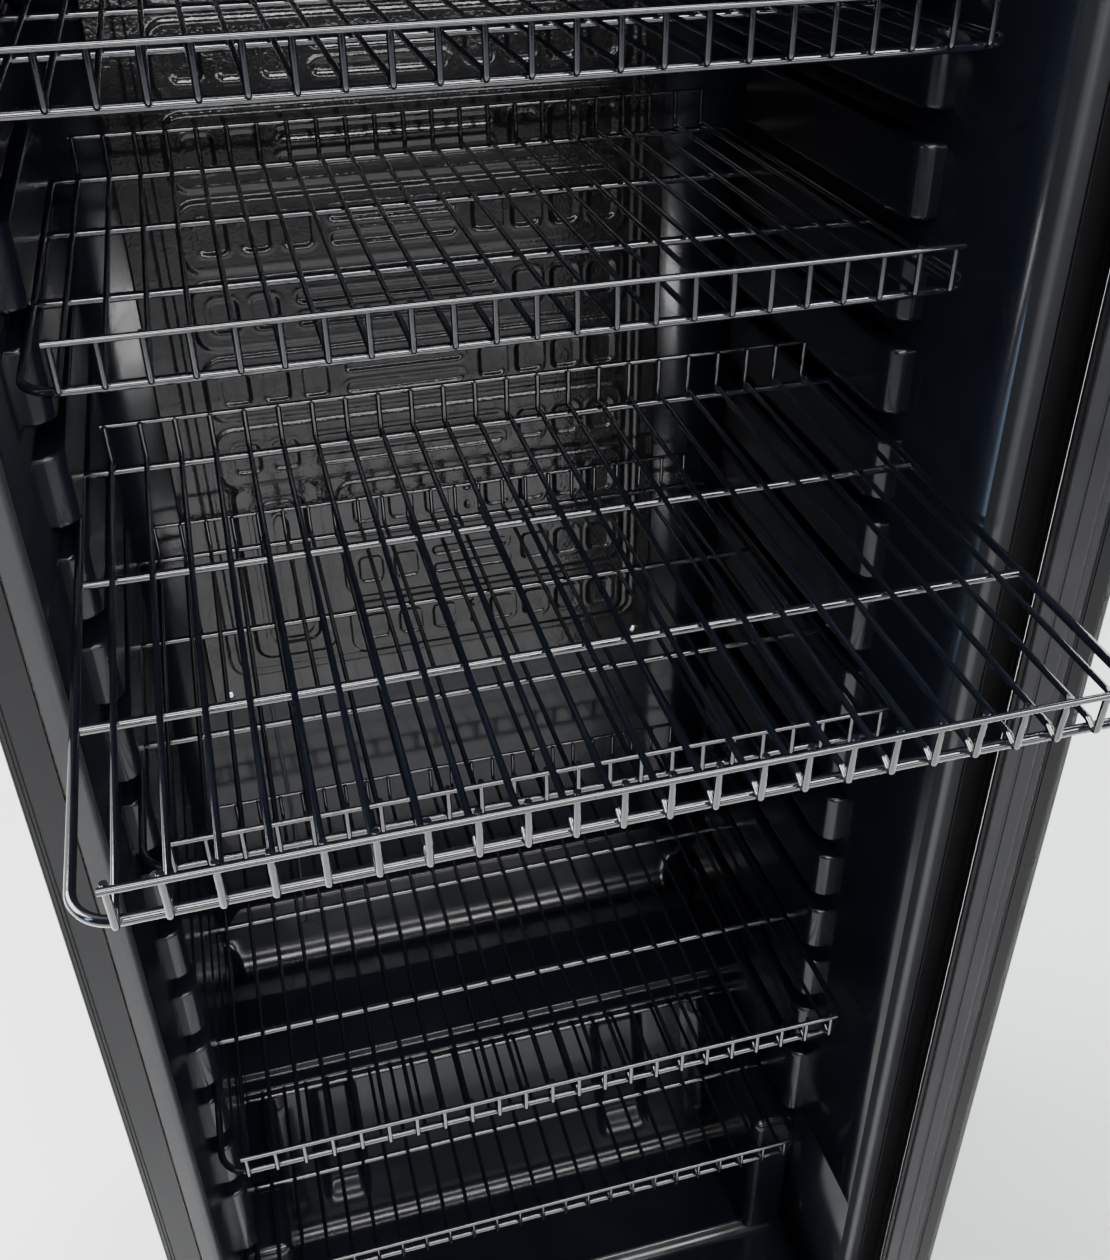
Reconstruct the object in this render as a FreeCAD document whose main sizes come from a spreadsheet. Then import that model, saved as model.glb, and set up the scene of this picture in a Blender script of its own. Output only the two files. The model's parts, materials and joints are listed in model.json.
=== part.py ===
import FreeCAD, Part
import math
import os
import re
import Sketcher

# Glass door merchandiser: an upright display fridge with one hinged glass door and six wire shelves.
# X runs to the right as seen from the front, Y runs from the door to the back, Z runs up, and the
# origin is on the floor under the centre of the cabinet. The door is stored open and shelf 3 is
# stored pulled out and tipped on the ends of its ribs.

document = FreeCAD.newDocument("merchandiser")
sheet = document.addObject("Spreadsheet::Sheet", "Sizes")

SIZES = {
    # cabinet
    "cabinet_width": 567,
    "cabinet_depth": 504,
    "foot_height": 25,
    "body_top": 1580,
    "steel_gauge": 1.0,
    "sill_level": 146,
    "back_insulation": 49,
    "side_insulation": 29.5,
    "top_insulation": 50,
    "foot_inset": 45,
    "foot_rim": 19,
    "stem_radius": 5,
    "stem_rise": 10,
    "pan_setback": 14,
    "pan_gauge": 2,
    "pan_height": 18,
    "flange_gauge": 1.5,
    "grille_gauge": 3,
    "slot_height": 5,
    "slot_margin": 60,
    "slot_border": 18,
    # liner
    "liner_gauge": 2.5,
    "floor_level": 180,
    "mouth_lip": 4,
    "strip_width": 12,
    "strip_depth": 12,
    # moulded ribs that carry the shelves
    "rib_pitch": 60,
    "rib_height": 43,
    "rib_reach": 16,
    "rib_round": 12,
    "rib_setback": 117,
    "rib_back_gap": 75,
    "lowest_rib_top": 450,
    "lowest_rib_height": 79,
    "ledge_level": 351,
    "ledge_reach": 41,
    # moulded hump over the machine bay
    "hump_foot_run": 216,
    "hump_front_run": 171,
    "hump_edge_level": 355,
    "bead_depth": 16,
    "bead_rise": 3,
    "slope_depth": 76,
    "slope_rise": 22,
    "lip_depth": 22,
    "lip_rise": 9,
    "trough_drop": 20,
    "trough_end_width": 28,
    "trough_back": 10,
    "trough_fall": 3,
    "trough_top_level": 430,
    "hump_foam": 26,
    # wire shelves
    "shelf_side_gap": 10,
    "shelf_front_gap": 49.6,
    "shelf_rear_gap": 45.4,
    "short_shelf_setback": 92,
    "short_shelf_gap": 6,
    "bar_radius": 2.5,
    "wire_radius": 1.7,
    "corner_round": 20,
    "wire_count": 23,
    "wire_inset": 18,
    "stub_offset": 5.5,
    "fence_height": 26,
    "rest_gap": 0.3,
    "shelf_hold": 84.6,
    "shelf_tilt": 2.4,
    # evaporator
    "plate_margin": 49,
    "plate_bottom": 692,
    "plate_head_gap": 75,
    "plate_gauge": 1.6,
    "plate_standoff": 11,
    "channel_width": 15,
    "channel_rise": 1.6,
    "channel_pitch": 60,
    "first_channel": 45,
    "channel_margin": 47,
    "screw_inset": 14,
    "screw_radius": 4.5,
    "screw_rise": 2.5,
    "standoff_radius": 6,
    "strip_margin": 48,
    "strip_gauge": 1.5,
    "strip_gap": 14,
    "probe_width": 5,
    "tab_radius": 10,
    "drain_offset": 32,
    "drain_wall": 2,
    # door
    "door_gap": 9,
    "door_thickness": 50,
    "stile_width": 35,
    "pane_gauge": 4,
    "pane_spacing": 14,
    "pane_recess": 9,
    "spacer_width": 3,
    "gasket_inset": 3,
    "gasket_width": 18,
    "gasket_clearance": 0.8,
    "gasket_lip": 4,
    "hinge_inset": 7.5,
    "swing_clearance": 1.058,
    "pin_radius": 2.5,
    "pin_length": 20,
    "pin_gap": 0.05,
    "door_open": 142,
    "hinge_gap": 1.5,
    "bracket_gauge": 4,
    "bracket_width": 46,
    "bracket_drop": 24,
    "bracket_nose": 9,
    "handle_length": 300,
    "handle_radius": 9,
    "handle_reach": 42,
    "handle_level": 900,
    "post_inset": 25,
    "lock_radius": 9,
    "lock_length": 22,
    "lock_level": 230,
    # header
    "header_height": 210,
    "header_depth": 140,
    "sign_gauge": 3,
    "header_shell": 1.5,
    "switch_inset": 60,
    "bezel_half_width": 11,
    "bezel_half_height": 15,
    "bezel_width": 3,
    "bezel_rise": 5,
    "rocker_pivot": 3.6,
    # machine bay
    "bay_top": 326,
    "compressor_radius": 70,
    "compressor_height": 160,
    "compressor_level": 45,
    "compressor_setback": 102,
    "mount_half_width": 85,
    "mount_half_depth": 52,
    "tray_half_width": 90,
    "tray_height": 26,
    "tray_wall": 2,
    "condenser_margin": 267,
    "condenser_height": 100,
    "condenser_depth": 34,
    "condenser_offset": 40,
    "condenser_setback": 22,
    "fin_gauge": 0.8,
    "shroud_depth": 24,
    "motor_radius": 20,
    "motor_length": 34,
    "fan_radius": 46,
    "fan_hub_radius": 16,
    "fan_clearance": 3,
    "shaft_radius": 2.5,
    "shaft_gap": 0.05,
    "tube_radius": 4,
    # inside the roof
    "moulding_wall": 2,
    "control_setback": 205,
    "control_left": 170,
    "control_right": 60,
    "control_depth": 90,
    "control_height": 34,
    "knob_offset": 115,
    "knob_radius": 15,
    "knob_height": 13,
    "shaft_bore": 3.1,
    "lamp_margin": 54,
    "lamp_setback": 22,
    "lamp_width": 32,
    "lamp_height": 20,
    "duct_offset": 80,
    "duct_setback": 100,
    "duct_height": 40,
    "duct_border": 10,
    "circulation_radius": 44,
}

for row, (name, length) in enumerate(SIZES.items(), 1):
    sheet.set(f"A{row}", name)
    sheet.set(f"B{row}", str(length))
    sheet.setAlias(f"B{row}", name)
document.recompute()


def linked(formula):
    """A formula with each of the sheet's names pointed at its cell."""
    def point(word):
        return f"Sizes.{word.group()}" if word.group() in SIZES else word.group()
    return re.sub(r"[a-z][a-z_]*", point, str(formula))


def bind(item, place, formula):
    """Ties a property to the sheet. The long words of the formula are the sheet's names."""
    item.setExpression(place, linked(formula))


def number(formula):
    """What a formula of the sheet's names comes to, for pieces drawn from plain points."""
    return float(sheet.evalExpression(linked(formula)))


def place(item, x, y, z):
    for axis, formula in zip("xyz", (x, y, z)):
        bind(item, f"Placement.Base.{axis}", formula)


def block(name, x, y, z):
    """A box between a low and a high plane along each axis."""
    solid = document.addObject("Part::Box", name)
    for side, (low, high) in zip(("Length", "Width", "Height"), (x, y, z)):
        bind(solid, side, f"({high}) - ({low})")
    place(solid, x[0], y[0], z[0])
    return solid


TURNS = {
    "x": FreeCAD.Rotation(FreeCAD.Vector(0, 1, 0), 90),
    "y": FreeCAD.Rotation(FreeCAD.Vector(1, 0, 0), -90),
    "z": FreeCAD.Rotation(),
}


def rod(name, along, radius, length, start):
    """A round bar from its start point along one axis."""
    solid = document.addObject("Part::Cylinder", name)
    bind(solid, "Radius", radius)
    bind(solid, "Height", length)
    solid.Placement = FreeCAD.Placement(FreeCAD.Vector(), TURNS[along])
    place(solid, *start)
    return solid


def group(name, members):
    """Separate solids that make one piece or one set of fasteners."""
    whole = document.addObject("Part::Compound", name)
    whole.Links = members
    return whole


def fuse(name, members):
    whole = document.addObject("Part::MultiFuse", name)
    whole.Shapes = members
    return whole


def cut(name, base, tools):
    """A piece with one or more tools taken out of it."""
    result = document.addObject("Part::Cut", name)
    result.Base = base
    result.Tool = tools[0] if len(tools) == 1 else fuse(name + "_tools", tools)
    return result


def mirrored(name, source, normal=(1, 0, 0)):
    copy = document.addObject("Part::Mirroring", name)
    copy.Source = source
    copy.Normal = FreeCAD.Vector(*normal)
    return copy


def plane_of(body, role):
    return next(feature for feature in body.Origin.OriginFeatures if feature.Role == role)


def new_sketch(body, role, name):
    sketch = body.newObject("Sketcher::SketchObject", name)
    sketch.AttachmentSupport = [(plane_of(body, role), "")]
    sketch.MapMode = "FlatFace"
    return sketch


def outline(body, role, name, corners):
    """A closed sketch with straight sides. Each corner is a pair of formulas on its plane."""
    sketch = new_sketch(body, role, name)
    total = len(corners)
    # a first guess on a circle keeps the corners in order for the solver
    spots = []
    for index in range(total):
        angle = 2 * math.pi * index / total
        spots.append(FreeCAD.Vector(100 * math.cos(angle), 100 * math.sin(angle), 0))
    for index in range(total):
        sketch.addGeometry(Part.LineSegment(spots[index], spots[(index + 1) % total]), False)
    for index in range(total):
        joint = Sketcher.Constraint("Coincident", index, 2, (index + 1) % total, 1)
        sketch.addConstraint(joint)
    for index, corner in enumerate(corners):
        for kind, formula in zip(("DistanceX", "DistanceY"), corner):
            order = sketch.addConstraint(Sketcher.Constraint(kind, -1, 1, index, 1, 1.0))
            bind(sketch, f"Constraints[{order}]", formula)
    return sketch


def circle(body, role, name, radius, centre=("0", "0")):
    sketch = new_sketch(body, role, name)
    shape = Part.Circle(FreeCAD.Vector(1, 1, 0), FreeCAD.Vector(0, 0, 1), 5)
    edge = sketch.addGeometry(shape, False)
    order = sketch.addConstraint(Sketcher.Constraint("Radius", edge, 5))
    bind(sketch, f"Constraints[{order}]", radius)
    for kind, formula in zip(("DistanceX", "DistanceY"), centre):
        order = sketch.addConstraint(Sketcher.Constraint(kind, -1, 1, edge, 3, 1.0))
        bind(sketch, f"Constraints[{order}]", formula)
    return sketch


def new_body(name):
    return document.addObject("PartDesign::Body", name)


def pad(body, sketch, name, length, both_ways=False, backwards=False):
    feature = body.newObject("PartDesign::Pad", name)
    feature.Profile = sketch
    feature.Midplane = both_ways
    feature.Reversed = backwards
    bind(feature, "Length", length)
    sketch.Visibility = False
    return feature


def pocket(body, sketch, name, depth=None, backwards=False):
    """Takes the sketch out of the body, right through it when no depth is given."""
    feature = body.newObject("PartDesign::Pocket", name)
    feature.Profile = sketch
    feature.Reversed = backwards
    if depth is None:
        feature.Type = "ThroughAll"
        feature.Midplane = True
    else:
        bind(feature, "Length", depth)
    return feature


def revolve(body, sketch, name):
    """Turns a sketch on the XZ plane once around Z."""
    feature = body.newObject("PartDesign::Revolution", name)
    feature.Profile = sketch
    feature.ReferenceAxis = (plane_of(body, "Z_Axis"), [""])
    feature.Angle = 360
    return feature


def row_of(body, features, role, count, pitch):
    """Repeats features in a straight row along one of the body's axes."""
    pattern = body.newObject("PartDesign::LinearPattern", "Row")
    pattern.Originals = features
    pattern.Direction = (plane_of(body, role), [""])
    bind(pattern, "Length", f"(({count}) - 1) * ({pitch})")
    bind(pattern, "Occurrences", count)
    body.Tip = pattern
    return pattern


# planes that many pieces share, as formulas of the sheet's names
FRONT = "-cabinet_depth/2"
BACK = "cabinet_depth/2"
SIDE = "cabinet_width/2"
INNER = "(cabinet_width/2 - side_insulation)"
MOUTH = f"({INNER} - mouth_lip)"
CEILING = "(body_top - top_insulation)"
STRIP = f"({MOUTH} + strip_width)"
LINER_FRONT = f"({FRONT} + strip_depth)"
REAR_WALL = f"({BACK} - back_insulation)"
RIB_FRONT = f"({FRONT} + rib_setback)"
RIB_BACK = f"({REAR_WALL} - rib_back_gap)"
MOUTH_BOTTOM = "(floor_level + mouth_lip)"
MOUTH_TOP = f"({CEILING} - mouth_lip)"
HUMP_FOOT = f"({REAR_WALL} - hump_foot_run)"
HUMP_FRONT = f"({REAR_WALL} - hump_front_run)"
SHELF_HALF = f"({INNER} - shelf_side_gap)"
SHELF_DEPTH = "(cabinet_depth - back_insulation - shelf_rear_gap - shelf_front_gap)"
SHELF_BACK = f"({REAR_WALL} - shelf_rear_gap)"
SHORT_BACK = f"({HUMP_FRONT} - short_shelf_gap)"
SHORT_DEPTH = f"({SHORT_BACK} - {FRONT} - short_shelf_setback)"
DOOR_BACK = f"({FRONT} - door_gap)"
DOOR_FRONT = f"({DOOR_BACK} - door_thickness)"
DOOR_BOTTOM = f"({MOUTH_BOTTOM} - (cabinet_width/2 - {MOUTH}))"
DOOR_TOP = f"({MOUTH_TOP} + (cabinet_width/2 - {MOUTH}))"
HINGE_X = f"({SIDE} - hinge_inset)"
OPENED = "(door_open * 1 deg)"
HINGE_DEPTH = f"((hinge_inset * (1 - cos{OPENED}) + swing_clearance) / sin{OPENED} - door_gap)"
HINGE_Y = f"({DOOR_BACK} - {HINGE_DEPTH})"


# ---- outer casing ----

def side_panel(name, low):
    """A folded steel sheet over one whole side."""
    body = new_body(name)
    corners = [(FRONT, "foot_height"), (BACK, "foot_height"), (BACK, "body_top"), (FRONT, "body_top")]
    pad(body, outline(body, "YZ_Plane", name + "_outline", corners), name + "_sheet", "steel_gauge")
    place(body, low, "0", "0")


def flat_panel(name, role, corners, gauge, x="0", y="0", z="0"):
    """A flat sheet that stands or lies on one of the main planes."""
    body = new_body(name)
    pad(body, outline(body, role, name + "_outline", corners), name + "_sheet", gauge)
    place(body, x, y, z)
    return body


def box_corners(low_x, high_x, low_y, high_y):
    return [(low_x, low_y), (high_x, low_y), (high_x, high_y), (low_x, high_y)]


INSIDE = f"({SIDE} - steel_gauge)"
side_panel("left_panel", f"-{SIDE}")
side_panel("right_panel", INSIDE)
flat_panel("top_panel", "XY_Plane", box_corners(f"-{INSIDE}", INSIDE, FRONT, BACK), "steel_gauge",
           z="body_top - steel_gauge")
flat_panel("back_panel", "XZ_Plane", box_corners(f"-{INSIDE}", INSIDE, "bay_top", "body_top - steel_gauge"),
           "steel_gauge", y=BACK)

FEET = [(side, end) for side in (-1, 1) for end in (-1, 1)]
FOOT_X = f"({SIDE} - foot_inset)"
FOOT_Y = f"({BACK} - foot_inset)"


def base_pan():
    """A shallow open tray that the machine stands on, with a hole for each foot."""
    body = new_body("base_pan")
    span = box_corners(f"-{INSIDE}", INSIDE, f"{FRONT} + pan_setback", f"{BACK} - steel_gauge")
    pad(body, outline(body, "XY_Plane", "pan_outline", span), "pan_block", "pan_height")
    hollow = box_corners(f"pan_gauge - {INSIDE}", f"{INSIDE} - pan_gauge",
                         f"{FRONT} + pan_setback + pan_gauge", f"{BACK} - steel_gauge - pan_gauge")
    sketch = outline(body, "XY_Plane", "pan_hollow", hollow)
    sketch.AttachmentOffset = FreeCAD.Placement(FreeCAD.Vector(0, 0, number("pan_gauge")), FreeCAD.Rotation())
    pocket(body, sketch, "pan_inside", "pan_height", backwards=True)
    for index, (side, end) in enumerate(FEET):
        centre = (f"{side} * {FOOT_X}", f"{end} * {FOOT_Y}")
        pocket(body, circle(body, "XY_Plane", f"foot_hole_{index}", "stem_radius", centre),
               f"foot_bore_{index}")
    place(body, "0", "0", "foot_height")


base_pan()


def foot(name, side, end):
    """A round foot under a stem that is pressed into the base pan."""
    body = new_body(name)
    profile = [("0", "0"), ("foot_rim - 2", "0"), ("foot_rim", "3"), ("foot_rim", "7"),
               ("stem_radius + 3", "12"),
               ("stem_radius", "15"), ("stem_radius", "foot_height + stem_rise"), ("0",
                                                                                   "foot_height + stem_rise")]
    revolve(body, outline(body, "XZ_Plane", name + "_profile", profile), name + "_turned")
    place(body, f"{side} * {FOOT_X}", f"{end} * {FOOT_Y}", "0")
    return body


group("feet", [foot(f"foot_{index}", side, end) for index, (side, end) in enumerate(FEET)])


def ring(name, x_low, x_high, z_low, z_high, width, y):
    """Four straight lengths around a rectangle, butted at the corners. Widths grow inwards."""
    lengths = [
        block(name + "_left", (x_low, f"{x_low} + {width}"), y, (z_low, z_high)),
        block(name + "_right", (f"{x_high} - {width}", x_high), y, (z_low, z_high)),
        block(name + "_bottom", (f"{x_low} + {width}", f"{x_high} - {width}"), y,
              (z_low, f"{z_low} + {width}")),
        block(name + "_top", (f"{x_low} + {width}", f"{x_high} - {width}"), y,
              (f"{z_high} - {width}", z_high)),
    ]
    return lengths


FLANGE_Y = (FRONT, f"{FRONT} + flange_gauge")
FLANGE_Z = ("sill_level", "body_top - steel_gauge")
STRIP_LOW = f"({MOUTH_BOTTOM} - strip_width)"
STRIP_HIGH = f"({MOUTH_TOP} + strip_width)"
group("front_frame", [
    block("flange_left", (f"-{INSIDE}", f"-{STRIP}"), FLANGE_Y, FLANGE_Z),
    block("flange_right", (STRIP, INSIDE), FLANGE_Y, FLANGE_Z),
    block("flange_bottom", (f"-{STRIP}", STRIP), FLANGE_Y, (FLANGE_Z[0], STRIP_LOW)),
    block("flange_top", (f"-{STRIP}", STRIP), FLANGE_Y, (STRIP_HIGH, FLANGE_Z[1])),
])
group("breaker_strips", ring("strip", f"-{STRIP}", STRIP, STRIP_LOW, STRIP_HIGH, "strip_width",
                             (FRONT, LINER_FRONT)))


def slotted_cover(name, low, high, slots, thickness, y, half_width):
    """A flat cover with a row of level air slots, one above another."""
    body = new_body(name)
    pad(body, outline(body, "XZ_Plane", name + "_outline", box_corners(f"-{half_width}", half_width, low,
                                                                       high)),
        name + "_sheet", thickness)
    first = f"({low}) + slot_border"
    slot = outline(body, "XZ_Plane", name + "_slot", box_corners(
        f"slot_margin - {half_width}", f"{half_width} - slot_margin", first, f"({first}) + slot_height"))
    opening = pocket(body, slot, name + "_opening")
    row_of(body, [opening], "Z_Axis", slots, f"(({high}) - ({low}) - 2 * slot_border) / {slots}")
    place(body, "0", y, "0")
    return body


slotted_cover("front_grille", "foot_height + 3", "sill_level - 1", 8, "grille_gauge",
              f"{FRONT} + grille_gauge", INSIDE)
slotted_cover("rear_grille", "foot_height", "bay_top - 1", 16, "steel_gauge", BACK, INSIDE)

# ---- liner ----
RIB_COUNT = int(number(f"({CEILING} - lowest_rib_top) / rib_pitch"))


def rib(name, low, height):
    """One moulded rib of the right side wall, seen from above, drawn up from its underside."""
    body = new_body(name)
    profile = [("0", RIB_FRONT), ("0", RIB_BACK), ("-rib_reach", f"{RIB_BACK} - rib_reach"),
               ("-rib_reach", f"{RIB_FRONT} + rib_round"),
               ("-0.7 * rib_reach", f"{RIB_FRONT} + 0.25 * rib_round"), ("-0.4 * rib_reach", RIB_FRONT)]
    pad(body, outline(body, "XY_Plane", name + "_outline", profile), name + "_height", height)
    place(body, INNER, "0", low)
    return body


def liner_side():
    """The right side wall and its column of ribs. The lowest rib is taller than the rest."""
    wall = block("wall_sheet", (INNER, f"{INNER} + liner_gauge"), (LINER_FRONT, REAR_WALL),
                 ("floor_level", CEILING))
    members = [wall, rib("tall_rib", "lowest_rib_top - lowest_rib_height", "lowest_rib_height")]
    repeated = rib("level_rib", "0", "rib_height")
    for index in range(1, RIB_COUNT):
        level = group(f"rib_{index}", [repeated])
        place(level, "0", "0", f"lowest_rib_top + {index} * rib_pitch - rib_height")
        members.append(level)
    return group("right_wall", members)


def prism(name, profile, low_x, high_x):
    """A profile in the YZ plane drawn out along X."""
    body = new_body(name)
    pad(body, outline(body, "YZ_Plane", name + "_profile", profile), name + "_length",
        f"({high_x}) - ({low_x})")
    place(body, low_x, "0", "0")
    return body


BEAD_BACK = f"({HUMP_FRONT} + bead_depth)"
SLOPE_BACK = f"({BEAD_BACK} + slope_depth)"
LIP_BACK = f"({SLOPE_BACK} + lip_depth)"
BEAD_TOP = "(hump_edge_level + bead_rise)"
SLOPE_TOP = f"({BEAD_TOP} + slope_rise)"
LIP_TOP = f"({SLOPE_TOP} + lip_rise)"
TROUGH_FLOOR = f"({LIP_TOP} - trough_drop)"


def hump():
    """The moulded step over the machine bay, as flat strips from the floor up to the back wall.

    The drain trough lies behind its lip, and a bore drains it.
    """
    top = [(HUMP_FOOT, "floor_level"), (HUMP_FRONT, "hump_edge_level"), (BEAD_BACK, BEAD_TOP),
           (SLOPE_BACK, SLOPE_TOP), (f"{SLOPE_BACK} + 0.7 * lip_depth", LIP_TOP), (LIP_BACK,
                                                                                   f"{LIP_TOP} - 2"),
           (f"{LIP_BACK} + 3", TROUGH_FLOOR), (f"{REAR_WALL} - trough_back", f"{TROUGH_FLOOR} - trough_fall"),
           (REAR_WALL, "trough_top_level")]
    under = [(f"{y} + liner_gauge", f"{z} - liner_gauge") for y, z in top]
    under[0] = (f"{HUMP_FOOT} + liner_gauge", "floor_level")
    under[-1] = (f"{REAR_WALL} + liner_gauge", "trough_top_level")
    strips = []
    for index in range(len(top) - 1):
        corners = [top[index], top[index + 1], under[index + 1], under[index]]
        strips.append(prism(f"hump_strip_{index}", corners, f"-{INNER}", INNER))
    trough_floor = len(strips) - 2
    strips[trough_floor] = cut("drained_trough", strips[trough_floor], [drain_bore])
    return strips


def ledge(name, low_x, high_x):
    """The broad step at the foot of a side wall that carries the lowest shelf."""
    face = f"({HUMP_FOOT} + (ledge_level - floor_level) / (hump_edge_level - floor_level)"
    face += " * (hump_foot_run - hump_front_run))"
    profile = [(f"{RIB_FRONT} + 0.4 * rib_round", "floor_level"),
               (f"{RIB_FRONT} + 0.4 * rib_round", "ledge_level"),
               (face, "ledge_level"), (HUMP_FOOT, "floor_level")]
    return prism(name, profile, low_x, high_x)


def trough_end(name, low_x, high_x):
    """The filled end of the drain trough."""
    profile = [(LIP_BACK, f"{LIP_TOP} - 2"), (f"{LIP_BACK} + 3", TROUGH_FLOOR),
               (f"{REAR_WALL} - trough_back", f"{TROUGH_FLOOR} - trough_fall"), (REAR_WALL,
                                                                                 "trough_top_level")]
    return prism(name, profile, low_x, high_x)


drain_bore = rod("drain_bore", "z", "tube_radius + drain_wall + 0.2", "trough_top_level",
                 ("0", f"{REAR_WALL} - drain_offset", "foot_height + 20"))
right_wall = liner_side()
back_wall = block("back_wall", (f"-{INNER}", INNER), (REAR_WALL, f"{REAR_WALL} + liner_gauge"),
                  ("trough_top_level", CEILING))
ceiling = block("ceiling", (f"-{INNER} - liner_gauge", f"{INNER} + liner_gauge"),
                (LINER_FRONT, f"{REAR_WALL} + liner_gauge"), (CEILING, f"{CEILING} + liner_gauge"))
floor = block("floor", (f"-{INNER} - liner_gauge", f"{INNER} + liner_gauge"),
              (LINER_FRONT, f"{HUMP_FOOT} + liner_gauge"), ("floor_level - liner_gauge", "floor_level"))
group("liner", [
    right_wall,
    mirrored("left_wall", right_wall),
    back_wall,
    ceiling,
    floor,
    *hump(),
    ledge("right_ledge", f"{INNER} - ledge_reach", INNER),
    ledge("left_ledge", f"-{INNER}", f"ledge_reach - {INNER}"),
    trough_end("right_trough_end", f"{INNER} - trough_end_width", INNER),
    trough_end("left_trough_end", f"-{INNER}", f"trough_end_width - {INNER}"),
])

# ---- insulation ----
OUTER_LINER = f"({INNER} + liner_gauge)"
FOAM_TOP = "(body_top - steel_gauge)"
FOAM_BACK = f"({BACK} - steel_gauge)"
FOAM_LEDGE = "(hump_edge_level - 2 * liner_gauge)"
hump_foam_profile = [
    (f"{HUMP_FOOT} + liner_gauge + 0.5", "floor_level"),
    (f"{HUMP_FRONT} + liner_gauge", FOAM_LEDGE),
    (f"{REAR_WALL} + liner_gauge", FOAM_LEDGE),
    (f"{REAR_WALL} + liner_gauge", "bay_top"),
    (f"{HUMP_FRONT} + hump_foam", "bay_top"),
    (f"{HUMP_FOOT} + hump_foam", "floor_level"),
]
group("insulation", [
    block("foam_left", (f"-{INSIDE}", f"-{OUTER_LINER}"), (LINER_FRONT, FOAM_BACK), ("sill_level", FOAM_TOP)),
    block("foam_right", (OUTER_LINER, INSIDE), (LINER_FRONT, FOAM_BACK), ("sill_level", FOAM_TOP)),
    block("foam_back", (f"-{OUTER_LINER}", OUTER_LINER), (f"{REAR_WALL} + liner_gauge", FOAM_BACK),
          ("bay_top", f"{CEILING} + liner_gauge")),
    block("foam_top", (f"-{OUTER_LINER}", OUTER_LINER), (LINER_FRONT, FOAM_BACK),
          (f"{CEILING} + liner_gauge", FOAM_TOP)),
    block("foam_floor", (f"-{OUTER_LINER}", OUTER_LINER), (LINER_FRONT, f"{HUMP_FOOT} + hump_foam"),
          ("sill_level", "floor_level - liner_gauge")),
    cut("foam_hump", prism("foam_step", hump_foam_profile, f"-{INNER}", INNER), [drain_bore]),
])

# ---- wire shelves ----

def swept_bar(points, radius, bend):
    """A round bar along straight runs, with a bend of one radius at every inner corner."""
    edges = []
    start = points[0]
    for before, corner, after in zip(points, points[1:], points[2:]):
        into = (corner - before).normalize()
        out = (after - corner).normalize()
        reach = bend * math.tan(into.getAngle(out) / 2)
        first, last = corner - into * reach, corner + out * reach
        middle = corner + (out - into).normalize() * (bend / math.cos(into.getAngle(out) / 2) - bend)
        edges.append(Part.makeLine(start, first))
        edges.append(Part.Arc(first, middle, last).toShape())
        start = last
    edges.append(Part.makeLine(start, points[-1]))
    ring = Part.Wire([Part.makeCircle(radius, points[0], points[1] - points[0])])
    return Part.Wire(edges).makePipeShell([ring], True, True)


def bent_frame(name, depth):
    """The U-shaped bar around three sides of a shelf, open at the back."""
    half = number(SHELF_HALF)
    path = [FreeCAD.Vector(-half, 0, 0), FreeCAD.Vector(-half, -depth, 0), FreeCAD.Vector(half, -depth, 0),
            FreeCAD.Vector(half, 0, 0)]
    frame = document.addObject("Part::Feature", name)
    frame.Shape = swept_bar(path, number("bar_radius"), number("corner_round"))
    return frame


WIRE_Z = "(bar_radius + wire_radius)"
FIRST_WIRE = f"(wire_inset - {SHELF_HALF})"
WIRE_PITCH = f"(-2 * {FIRST_WIRE} / (wire_count - 1))"
SPAN = f"(2 * {SHELF_HALF} - 2 * bar_radius)"


def deck(prefix, depth, bars, back_overrun):
    """The lying bars and wires of one shelf. Its back bar lies on Y = 0."""
    members = [bent_frame(prefix + "_frame", number(depth))]
    for index in range(bars):
        at = f"-{index} * {depth} / {bars}"
        members.append(rod(f"{prefix}_bar_{index}", "x", "bar_radius", SPAN, (f"-{SPAN} / 2", at, "0")))
    for index in range(int(number("wire_count"))):
        start = (f"{FIRST_WIRE} + {index} * {WIRE_PITCH}", f"-{depth} - stub_offset", WIRE_Z)
        members.append(rod(f"{prefix}_wire_{index}", "y", "wire_radius",
                           f"{depth} + stub_offset + {back_overrun}", start))
    return members


def fence(name, y, outwards):
    """Upright wire ends with a rail welded across their outer side."""
    members = [rod(name + "_rail", "x", "wire_radius", f"-2 * {FIRST_WIRE} + 2 * wire_radius + 2",
                   (f"{FIRST_WIRE} - wire_radius - 1", f"({y}) + {outwards} * 1.8 * wire_radius",
                    "fence_height"))]
    for index in range(int(number("wire_count"))):
        members.append(rod(f"{name}_stub_{index}", "z", "wire_radius", f"fence_height - {WIRE_Z}",
                           (f"{FIRST_WIRE} + {index} * {WIRE_PITCH}", y, f"{WIRE_Z} + wire_radius")))
    return fuse(name, members)


long_deck = deck("long", SHELF_DEPTH, 3, "stub_offset")
long_fences = [fence("front_fence", f"-{SHELF_DEPTH} - stub_offset", -1),
               fence("back_fence", "stub_offset", 1)]
short_deck = deck("short", SHORT_DEPTH, 2, "bar_radius")
short_fences = [fence("short_fence", f"-{SHORT_DEPTH} - stub_offset", -1)]

# how far up the column of ribs each shelf lies, as a share of its height
SHELF_RISE = {1: 0.82, 2: 0.70, 3: 0.59, 4: 0.41, 5: 0.12}
PULLED_SHELF = 3


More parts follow.
